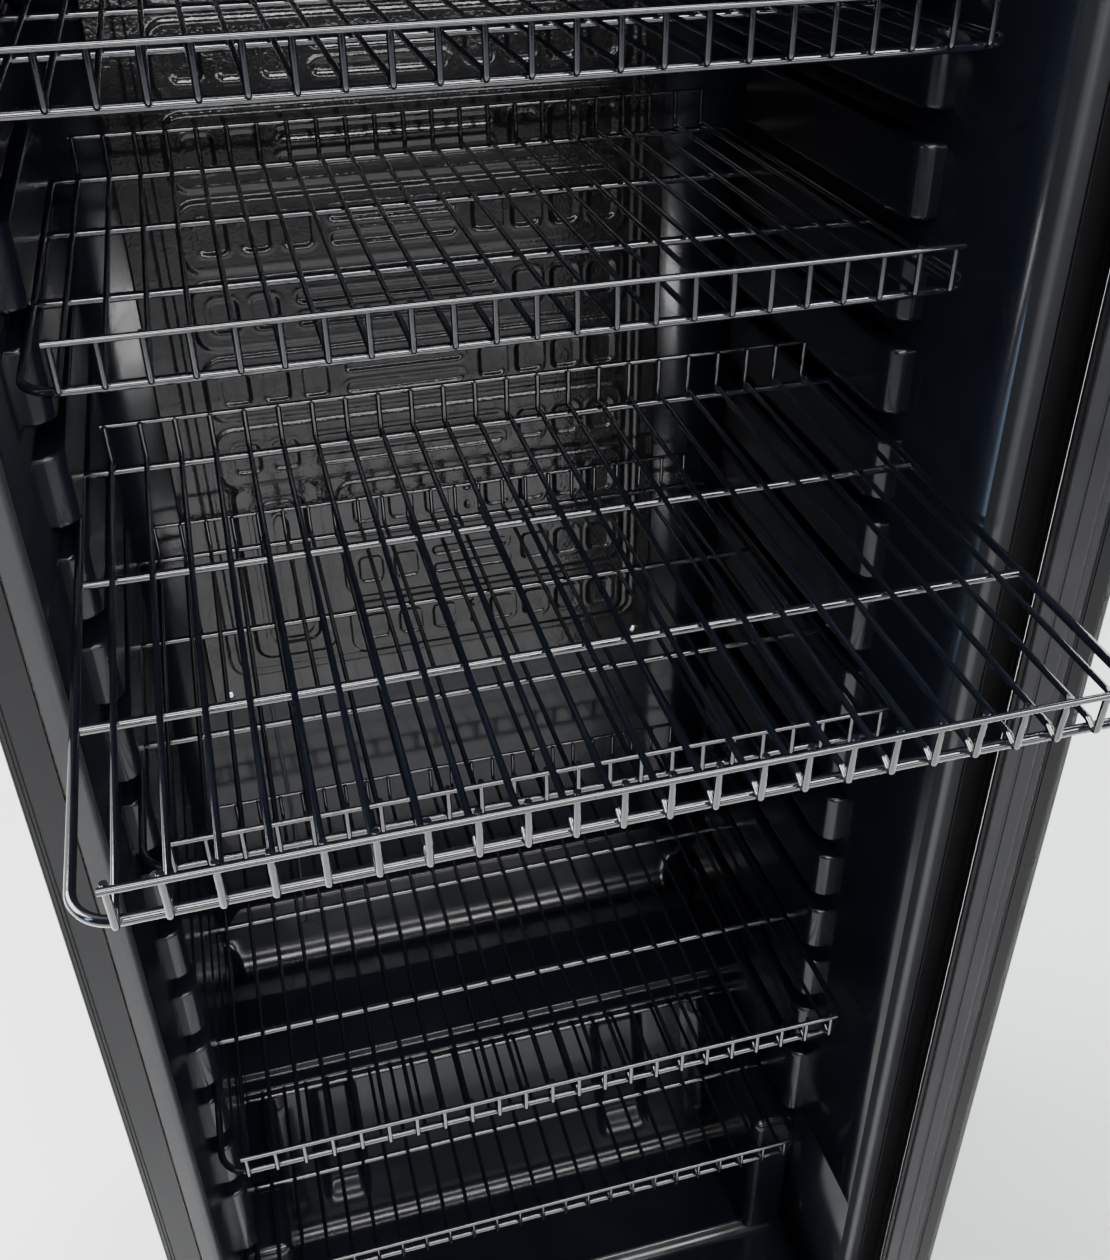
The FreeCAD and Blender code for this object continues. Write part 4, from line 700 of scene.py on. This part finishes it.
# ---- front flange and breaker strip
STRIP_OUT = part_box("breaker_strips")[1].x
steel_low, steel_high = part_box("front_frame")
strip_low, strip_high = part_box("breaker_strips")


def front_flange():
    """Folded steel round the mouth, with a doubled hem groove near its outer edge."""
    depth = steel_high.y - FRONT
    wide = steel_high.x - STRIP_OUT
    grooves = ((0, 0.4), (0.4, 0), (2.0, 0), (2.3, 0.9), (2.8, 0.9), (3.1, 0.1), (3.9, 0.1), (4.2, 0.9),
               (4.7, 0.9), (5.0, 0))  # millimetres in from the edge and down from the face
    profile = [(0, FRONT + depth)] + [(across * MM, FRONT + down * MM) for across, down in grooves]
    profile += [(wide - 1.2 * MM, FRONT), (wide - 0.5 * MM, FRONT + 0.3 * MM),
                (wide - 0.2 * MM, FRONT + depth)]
    flange = Shape()
    low = (-steel_high.x, strip_low.z - wide)
    high = (steel_high.x, strip_high.z + wide)
    flange.ring(low, high, profile)
    flange.block((-steel_high.x, FRONT, steel_low.z), (steel_high.x, FRONT + depth, strip_low.z - wide),
                 0.3 * MM)
    flange.block((-steel_high.x, FRONT, strip_high.z + wide), (steel_high.x, FRONT + depth, steel_high.z),
                 0.3 * MM)
    flange.done("front_flange", "flange_steel", nodes=("front_frame",))


def breaker_strip():
    """Vinyl strip between steel and liner: a groove beside the steel and a full round into the cabinet."""
    wide = 12 * MM
    deep = strip_high.y
    profile = [(0, deep), (0, FRONT + 2.2 * MM), (0.7 * MM, FRONT + 2.2 * MM), (0.9 * MM, FRONT + 0.3 * MM),
               (1.4 * MM, FRONT)]
    profile += [(wide - 5 * MM + x, FRONT + 5 * MM + y) for x, y in arc((0, 0), 5 * MM, -90, 0, 6)]
    profile += [(wide, deep)]
    strip = Shape()
    strip.ring((strip_low.x, strip_low.z), (strip_high.x, strip_high.z), profile)
    strip.done("breaker_strip", "strip_vinyl", nodes=("breaker_strips",))


front_flange()
breaker_strip()

# ---- door
joint = next(joint for joint in frame["joints"] if joint["name"] == "door_hinge")
PIN = Vector(joint["pos_m"])
OPEN = -math.radians(joint["range_deg"][0])
SWING = Matrix.Translation(PIN) @ Matrix.Rotation(OPEN, 4, "Z") @ Matrix.Translation(-PIN)
DOOR_BACK = FRONT - 9 * MM
DOOR_FRONT = DOOR_BACK - 50 * MM
door_low_z, door_high_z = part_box("door_frame")[0].z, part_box("door_frame")[1].z
STILE = 35 * MM
RECESS = 9 * MM


def door_ring(name, slot, node, profile):
    """Sweeps a profile round the shut door's outline and swings it open."""
    side = SIDE - 0.05 * MM
    ring = Shape()
    ring.ring((-side, door_low_z), (side, door_high_z), profile)
    ring.done(name, slot, "door", (node,), matrix=SWING)


def door_frame():
    """Mitred aluminium profile with a glazing lip, a channel for the gasket and rounded outer corners."""
    back, front = DOOR_BACK, DOOR_FRONT
    channel = ((0, -1), (1, 0), (3.2, 0), (3.4, -1.2), (4.6, -1.2), (4.8, 0), (25.6, 0), (26, -1.2),
               (27, -1.2),
               (27.4, 0))  # the side towards the cabinet, in millimetres
    profile = [(across * MM, back + up * MM) for across, up in channel]
    profile += [(STILE - 1.2 * MM, back), (STILE, back - 1.2 * MM), (STILE, back - RECESS - 22 * MM),
                (STILE, front + 6 * MM), (STILE - 2.5 * MM, front + 1.2 * MM), (STILE - 5 * MM, front),
                (9 * MM, front), (4 * MM, front + 1.2 * MM), (MM, front + 4.5 * MM), (0, front + 9 * MM)]
    door_ring("door_profile_frame", "door_profile", "door_frame", profile)


def door_gasket():
    """Bellows gasket: a magnet bar with a centre crease, a side bellow and a soft inner lip."""
    bellows = ((0, 0), (0.3, 3), (0, 5), (0.8, 7.4), (1.8, 8.2), (7.6, 8.2), (8.4, 7.5), (9.2, 7.5),
               (10, 8.2),
               (16.4, 8.2), (17.6, 7.2), (18, 4.1), (21.2, 3.7), (22, 2.6), (22, 0))
    profile = [((3 + across) * MM, DOOR_BACK + up * MM) for across, up in bellows]  # in millimetres
    door_ring("door_gasket_bellows", "gasket_vinyl", "door_gasket", profile)


def door_glass():
    panes = Shape()
    for level in (DOOR_BACK - RECESS, DOOR_BACK - RECESS - 18 * MM):
        panes.block((STILE - SIDE, level - 4 * MM, door_low_z + STILE),
                    (SIDE - STILE, level, door_high_z - STILE),
                    0.4 * MM)
    panes.done("door_panes", "pane", "door", ("glass_panes",), matrix=SWING)


def door_spacer():
    inner = DOOR_BACK - RECESS - 4 * MM
    outer = inner - 14 * MM
    profile = [(STILE, outer), (STILE, inner), (STILE + 2.6 * MM, inner), (STILE + 3 * MM, inner - 0.6 * MM),
               (STILE + 3 * MM, outer + 0.6 * MM), (STILE + 2.6 * MM, outer)]
    door_ring("door_glass_spacer", "spacer_metal", "glass_spacer", profile)


def door_handle():
    """A round grip on two posts with flared feet."""
    x = STILE / 2 - SIDE
    radius, reach = 9 * MM, 42 * MM
    low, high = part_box("door_handle")[0].z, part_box("door_handle")[1].z
    grip_y = DOOR_FRONT - reach
    grip = Shape()
    profile = [(0, low), (radius * 0.7, low), (radius * 0.93, low + 1.5 * MM), (radius, low + 4 * MM)]
    profile += [(radius, high - 4 * MM), (radius * 0.93, high - 1.5 * MM), (radius * 0.7, high), (0, high)]
    grip.turned(profile, (x, grip_y, 0))
    for level in (low + 25 * MM, high - 25 * MM):
        post = [(0, 0), (radius * 0.62, 0), (radius * 0.62, reach - 8 * MM), (radius * 0.8, reach - 3 * MM),
                (radius * 1.15, reach - 1 * MM), (radius * 1.15, reach), (0, reach)]
        grip.turned(post, (x, grip_y, level), "Y", 28)
    grip.done("door_grip", "door_profile", "door", ("door_handle",), matrix=SWING)


door_frame()
door_gasket()
door_glass()
door_spacer()
door_handle()

# ---- casing
SKIN = 1.0 * MM


def dimple_screw(shape, spot, facing, radius=4.0 * MM, height=1.6 * MM):
    """A pan screw head with a round recess, on a face that looks along Y (facing 1) or against it (-1)."""
    turn = Vector((0, facing, 0)).to_track_quat("Z", "Y").to_matrix().to_4x4()
    place = Matrix.Translation(spot) @ turn
    rows = []
    for index in range(24):
        angle = 2 * math.pi * index / 24
        rows.append([place @ Vector((r * math.cos(angle), r * math.sin(angle), h)) for r, h in
                     ((radius, 0), (radius, height * 0.45), (radius * 0.8, height * 0.85),
                      (radius * 0.45, height),
                      (radius * 0.4, height * 0.98), (radius * 0.36, height * 0.5), (0, height * 0.45))])
    shape.grid(rows, loop_rows=True)


def casing_side(side):
    """A side sheet with rolled front and back edges."""
    low_z = panel_low.z
    bend = 1.2 * MM
    outside = [(SIDE - SKIN, FRONT)] + [(x, y) for x, y in arc((SIDE - bend, FRONT + bend), bend, -90, 0, 6)]
    outside += [(SIDE, y) for y in np.linspace(FRONT + 6 * MM, BACK - 6 * MM, 9)]
    outside += arc((SIDE - bend, BACK - bend), bend, 0, 90, 6)
    inside = [(SIDE - SKIN, BACK - 0.2 * MM), (SIDE - SKIN, FRONT + 0.2 * MM)]
    outline = [(side * max(x, SIDE - SKIN), y) for x, y in outside + inside]
    panel = Shape()
    panel.prism([(x, y, low_z) for x, y in outline], (0, 0, BODY_TOP - low_z))
    name = "left" if side < 0 else "right"
    panel.done(f"casing_{name}", "black_steel", nodes=(f"{name}_panel",), smooth=40)


def casing_top():
    """The roof sheet with a raised seam along its sides and back."""
    low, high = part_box("top_panel")
    roof = Shape()
    roof.block((low.x, low.y, low.z), (high.x, high.y, high.z - 0.2 * MM), 0.3 * MM)
    for x in (low.x + 3 * MM, high.x - 3 * MM):
        roof.block((x - 3 * MM, low.y + 0.142, high.z - 0.4 * MM), (x + 3 * MM, high.y, high.z), 0.3 * MM)
    roof.block((low.x, high.y - 8 * MM, high.z - 0.4 * MM), (high.x, high.y, high.z), 0.3 * MM)
    roof.done("casing_top", "black_steel", nodes=("top_panel",))


def casing_back():
    """The back sheet: two shallow pressed panels and a row of screws down each side."""
    low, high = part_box("back_panel")
    step = 0.008
    xs = np.append(np.arange(low.x, high.x, step), high.x)
    zs = np.append(np.arange(low.z, high.z, step), high.z)
    x, z = np.meshgrid(xs, zs)
    middle, half = (low.z + high.z) / 2, (high.z - low.z) / 2
    depth = np.zeros_like(x)
    for share in (0.47, -0.47):
        gap = rounded_gap(x, z, (0, middle + half * share), (0.215, half * 0.36), 0.04)
        depth = np.maximum(depth, 1 - smooth_step(gap, -0.014, 0.006))
    y = high.y - 0.75 * MM * depth
    sheet = Shape()
    sheet.grid([[(px, py, pz) for px, py, pz in zip(*line)] for line in zip(x, y, z)])
    made = sheet.done("casing_back", "black_steel", nodes=("back_panel",), smooth=60, level=False)
    thicken(made, 0.25 * MM, 1.0)
    screws = Shape()
    for x in (-0.266, 0.266):
        for z in np.linspace(low.z + 0.03, high.z - 0.03, 7):
            dimple_screw(screws, (x, high.y, z), 1)
    screws.done("casing_screws", "lock_metal")


def louvres(name, node, slot, count, lean):
    """A vent cover whose slots are pressed out into hoods."""
    low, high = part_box(node)
    deep = high.y - low.y
    front_face = low.y if lean < 0 else high.y
    half = high.x - 0.06
    hooded = deep > 2 * MM
    first, opening = 0.018, 0.005
    pitch = (high.z - low.z - 2 * first) / count
    sheet = Shape()
    edges = [low.z]
    for index in range(count):
        edges += [low.z + first + index * pitch, low.z + first + index * pitch + opening]
    edges.append(high.z)
    thick = min(deep, 1.2 * MM)
    back_face = front_face - lean * thick
    near, far = min(front_face, back_face), max(front_face, back_face)
    for start, stop in zip(edges[0::2], edges[1::2]):
        sheet.block((-half, near, start), (half, far, stop), 0.25 * MM)
    for side in (-1, 1):
        sheet.block((min(side * half, side * high.x), near, low.z),
                    (max(side * half, side * high.x), far, high.z), 0.25 * MM)
    if hooded:
        inner = back_face - lean * 1.6 * MM
        for level in edges[2::2]:
            hood = [(front_face, level + 1.2 * MM), (front_face, level), (inner, level - 3.6 * MM),
                    (inner, level - 2.6 * MM)]
            sheet.prism([(-half, y, z) for y, z in hood], (2 * half, 0, 0), 0.2 * MM, 1)
        for z in (low.z, high.z - 2 * MM):
            sheet.block((-high.x, low.y, z), (high.x, high.y, z + 2 * MM), 0.4 * MM)
        for x in (-high.x, high.x - 2 * MM):
            sheet.block((x, low.y, low.z), (x + 2 * MM, high.y, high.z), 0.4 * MM)
    for side in (-1, 1):
        for level in (low.z + 0.012, high.z - 0.012):
            dimple_screw(sheet, (side * (high.x - 0.022), front_face - lean * 0.9 * MM, level), lean,
                         3.6 * MM, 0.9 * MM)
    sheet.done(name, slot, nodes=(node,))


def feet():
    """Levelling feet: a ribbed rubber pad, a nut and a threaded stem."""
    low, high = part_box("feet")
    stands = Shape()
    for side in (-1, 1):
        for end in (-1, 1):
            x, y = side * (high.x - 0.019), end * (high.y - 0.019)
            profile = [(0, 0), (0.0165, 0), (0.018, 0.001), (0.019, 0.003), (0.019, 0.0068), (0.0175, 0.0082),
                       (0.01, 0.0105),
                       (0.0085, 0.0112), (0.0085, 0.0118), (0.005, 0.012)]
            for turn in range(9):
                level = 0.0125 + turn * 0.0013
                profile += [(0.0049, level), (0.0043, level + 0.00065)]
            profile += [(0.0049, 0.0248), (0.0049, high.z), (0, high.z)]
            stands.turned(profile, (x, y, 0))
            nut = [(x + 0.0088 * math.cos(math.radians(60 * k)), y + 0.0088 * math.sin(math.radians(60 * k)),
                    0.0195)
                   for k in range(6)]
            stands.prism(nut, (0, 0, 0.005), 0.6 * MM)
    stands.done("levelling_feet", "soft_rubber", nodes=("feet",))


def header():
    """The sign box: a folded shell with rounded top corners, a trim, the sign, its switch and lights."""
    low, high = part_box("header_housing")
    back = low.y + 0.14
    shell_wall = 1.5 * MM
    bend = 12 * MM

    def loop(wall):
        """The shell's outline from the front, drawn in by a wall."""
        points = arc((high.x - bend, high.z - bend), bend - wall, 0, 90)
        points += arc((low.x + bend, high.z - bend), bend - wall, 90, 180)
        return points + [(low.x + wall, low.z + wall), (high.x - wall, low.z + wall)]

    outer, inner = loop(0), loop(shell_wall)
    shell = Shape()
    rows = []
    for near, loop in ((low.y, inner), (low.y, outer), (back, outer), (back, inner)):
        rows.append([(x, near, z) for x, z in loop])
    shell.grid(rows, loop_rows=True, loop_columns=True)
    shell.block((low.x + 1 * MM, back - shell_wall, low.z + MM),
                (high.x - 1 * MM, back - 0.2 * MM, high.z - bend), 0.4 * MM)
    shell.block((low.x + bend, back - shell_wall, high.z - bend - MM),
                (high.x - bend, back - 0.2 * MM, high.z - MM), 0.4 * MM)
    shell.done("header_shell", "black_steel", nodes=("header_housing",))
    trim = Shape()
    trim.ring((low.x + 1.5 * MM, low.z + 1.5 * MM), (high.x - 1.5 * MM, high.z - 1.5 * MM),
              [(0, low.y + 3 * MM), (0, low.y + 0.4 * MM), (0.6 * MM, low.y), (9 * MM, low.y),
               (10.5 * MM, low.y + 1 * MM),
               (10.5 * MM, low.y + 3 * MM)])
    trim.done("header_trim", "black_plastic")
    sign = Shape()
    sign_low, sign_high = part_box("header_sign")
    sign.block((sign_low.x + 8 * MM, sign_low.y + 0.9 * MM, sign_low.z + 8 * MM),
               (sign_high.x - 8 * MM, sign_high.y, sign_high.z - 8 * MM), 0.8 * MM, 3)
    sign.done("header_sign_sheet", "sign_acrylic", nodes=("header_sign",))
    switch = Shape()
    centre_x, level = high.x - 0.06, low.z + 0.06
    switch.ring((centre_x - 11 * MM, level - 15 * MM), (centre_x + 11 * MM, level + 15 * MM),
                [(0, back), (0, back + 3.4 * MM), (1.4 * MM, back + 5 * MM), (2.4 * MM, back + 5 * MM),
                 (3 * MM, back + 4.2 * MM),
                 (3 * MM, back)])
    switch.rod((centre_x - 8 * MM, back + 3.6 * MM, level), (centre_x + 8 * MM, back + 3.6 * MM, level), MM)
    switch.done("switch_bezel", "black_plastic")
    leads = Shape()
    led_low, led_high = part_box("header_led_bar")
    leads.block(led_low, led_high, 0.6 * MM)
    for x in np.linspace(led_low.x + 0.02, led_high.x - 0.02, 16):
        leads.block((x - 2.5 * MM, led_low.y, led_low.z + 10 * MM),
                    (x + 2.5 * MM, led_low.y + MM, led_low.z + 15 * MM), 0.2 * MM)
    leads.done("header_leds", "led_board", nodes=("header_led_bar",))


def gap_shade_bead():
    """A dark bead down the casing's hinge edge that stands in for the shade in the gap to the open door. It is not
    in the photo, and hides the gap to the open door.
    """
    bead = Shape()
    low_z, high_z = door_low_z + 2 * MM, door_high_z - 2 * MM
    plan = [(SIDE - 0.2 * MM, FRONT + 6.6 * MM), (SIDE - 0.2 * MM, FRONT + 0.9 * MM)]
    plan += [(SIDE + 1.5 * MM + x, FRONT + 2.9 * MM + y) for x, y in arc((0, 0), 1.6 * MM, -110, 60, 8)]
    bead.prism([(x, y, low_z) for x, y in plan], (0, 0, high_z - low_z), 0.3 * MM)
    bead.done("hinge_gap_shade_bead", "soft_rubber")


def hinges():
    """Angle brackets with rounded noses, two screws in each, and the pins."""
    low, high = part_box("hinge_brackets")
    gauge = 4 * MM
    brackets, screws = Shape(), Shape()
    for plate_low, leg in ((door_low_z - 1.5 * MM - gauge, (-24 * MM, gauge)),
                           (door_high_z + 1.5 * MM, (0, gauge + 12 * MM))):
        nose = 9 * MM
        plan = arc((PIN.x, low.y + nose), nose, 180, 270, 8)
        plan += [(high.x - 3 * MM, low.y), (high.x, low.y + 3 * MM), (high.x, FRONT),
                 (high.x - 46 * MM, FRONT),
                 (high.x - 46 * MM, FRONT - 8 * MM)]
        brackets.prism([(x, y, plate_low) for x, y in plan], (0, 0, gauge), 0.5 * MM)
        brackets.block((high.x - 46 * MM, FRONT - gauge, plate_low + leg[0]),
                       (high.x, FRONT, plate_low + leg[1]), 0.6 * MM)
        middle = plate_low + leg[0] / 2 if leg[0] < 0 else plate_low + gauge + 6 * MM
        for x in (high.x - 12 * MM, high.x - 34 * MM):
            dimple_screw(screws, (x, FRONT - gauge, middle), -1)
    brackets.done("hinge_angles", "black_steel", nodes=("hinge_brackets",))
    screws.done("hinge_screws", "lock_metal")
    pins = Shape()
    pin_low, pin_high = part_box("hinge_pins")
    for start, stop in ((pin_low.z, door_low_z + 19 * MM), (door_high_z - 19 * MM, pin_high.z)):
        pins.rod((PIN.x, PIN.y, start), (PIN.x, PIN.y, stop), 2.5 * MM, 28)
    pins.done("hinge_pin_rods", "pin_steel", nodes=("hinge_pins",))


def lamp():
    """The lamp cover under the ceiling: a fluted diffuser with end caps."""
    low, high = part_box("lamp_cover")
    half = (high.y - low.y) / 2
    middle = (high.y + low.y) / 2
    outline = [(middle - half, high.z)]
    for index in range(33):
        angle = math.pi * (1 + index / 32)
        flute = 0.35 * MM * (index % 2)
        outline.append((middle + (half - flute) * math.cos(angle),
                        high.z - 4 * MM + (high.z - low.z - 4 * MM - flute) * math.sin(angle)))
    outline.append((middle + half, high.z))
    tube = Shape()
    tube.prism([(low.x + 6 * MM, y, z) for y, z in outline], (high.x - low.x - 12 * MM, 0, 0))
    tube.done("lamp_diffuser", "lamp_diffuser", nodes=("lamp_cover",), smooth=60)
    caps = Shape()
    for x in (low.x, high.x - 8 * MM):
        caps.block((x, low.y, low.z), (x + 8 * MM, high.y, high.z), 2.4 * MM, 3)
    caps.done("lamp_end_caps", "black_plastic")


def controls():
    """The thermostat box: a face and four walls."""
    low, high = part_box("control_housing")
    box = Shape()
    box.block(low, (high.x, low.y + 2.2 * MM, high.z), 0.9 * MM, 3)
    box.block((low.x, low.y, low.z), (high.x, high.y, low.z + 2 * MM), 0.9 * MM, 3)
    box.block((low.x, high.y - 2 * MM, low.z), (high.x, high.y, high.z), 0.9 * MM, 3)
    for x in (low.x, high.x - 2 * MM):
        box.block((x, low.y, low.z), (x + 2 * MM, high.y, high.z), 0.9 * MM, 3)
    box.done("control_box", "black_plastic", nodes=("control_housing",))


casing_side(-1)
casing_side(1)
casing_top()
casing_back()
louvres("front_louvres", "front_grille", "black_plastic", 8, -1)
louvres("rear_louvres", "rear_grille", "black_steel", 16, 1)
feet()
header()
hinges()
# painted shade: a dark bead stands in for the shadow in the hinge-side gap
gap_shade_bead()
lamp()
controls()

# ---- stage, light and camera


def stage():
    floor = Shape()
    floor.block((-6, -5, -0.02), (6, 6, 0.0), 0.001)
    mesh = bpy.data.meshes.new("studio_floor")
    floor.mesh.to_mesh(mesh)
    made = put("studio_floor", mesh)
    pale = finish("studio_pale", (0.8, 0.8, 0.8), (0.83, 0.83, 0.83), (0.6, 0.7), 40, 0.0001)
    mesh.materials.append(pale)


def area_light(name, spot, target, size, power, colour=(1, 1, 1)):
    lamp = bpy.data.lights.new(name, "AREA")
    lamp.shape = "RECTANGLE"
    lamp.size, lamp.size_y = size
    lamp.energy = power
    lamp.color = colour
    made = put(name, lamp)
    made.location = spot
    made.rotation_euler = (Vector(target) - Vector(spot)).to_track_quat("-Z", "Y").to_euler()


def lights():
    """A studio that is bright behind and above the cabinet and dark behind the camera.

    Softboxes light the cabinet, and a lamp on each side lights the floor.
    """
    world = bpy.data.worlds.new("studio")
    bpy.context.scene.world = world
    world.use_nodes = True
    tree = world.node_tree
    sky = tree.nodes["Background"]
    sky.inputs["Color"].default_value = (0.97, 0.985, 1.0, 1)
    around = tree.nodes.new("ShaderNodeTexCoord")
    parts = tree.nodes.new("ShaderNodeSeparateXYZ")
    ramp = tree.nodes.new("ShaderNodeMapRange")
    ramp.interpolation_type = "SMOOTHSTEP"
    ramp.inputs["From Min"].default_value = -0.25
    ramp.inputs["From Max"].default_value = 0.35
    ramp.inputs["To Min"].default_value = 0.07
    ramp.inputs["To Max"].default_value = 1.7
    tree.links.new(around.outputs["Generated"], parts.inputs["Vector"])
    tree.links.new(parts.outputs["Y"], ramp.inputs["Value"])
    tree.links.new(ramp.outputs["Result"], sky.inputs["Strength"])
    area_light("softbox_front", (0.35, -1.75, 2.35), (0, 0.1, 0.7), (2.2, 0.4), 115)
    area_light("softbox_roof", (0.0, -0.75, 3.0), (0, 0.0, 1.0), (1.6, 0.3), 45)
    area_light("card_low", (0.3, -2.4, 1.15), (0, 0.2, 0.4), (2.4, 0.3), 36)
    area_light("softbox_left", (-2.4, -1.2, 2.0), (0, 0, 0.9), (0.3, 1.6), 20, (0.5, 0.7, 1.0))
    area_light("floor_left", (-2.3, 0.7, 2.6), (-1.7, 0.5, 0), (2.0, 2.0), 340)
    area_light("floor_right", (2.4, 0.8, 2.6), (1.7, 0.4, 0), (2.0, 2.0), 80)


LENS, SENSOR = 37.4, 36.0  # millimetres
CAMERA_SPOT = (-0.1508, -0.7980, 1.4176)
CAMERA_RIGHT, CAMERA_UP = (0.9640, -0.2656, -0.0117), (0.1592, 0.5414, 0.8256)


def camera():
    """The photo's camera, solved from the corners of the shelves and ribs."""
    data = bpy.data.cameras.new("camera")
    data.sensor_width = SENSOR
    data.lens = LENS
    made = put("camera", data)
    right = Vector(CAMERA_RIGHT)
    up = Vector(CAMERA_UP)
    back = right.cross(up).normalized()
    up = back.cross(right).normalized()
    turn = Matrix((right.normalized(), up, back)).transposed().to_4x4()
    made.matrix_world = Matrix.Translation(CAMERA_SPOT) @ turn
    bpy.context.scene.camera = made


stage()
lights()
camera()

bpy.context.view_layer.update()
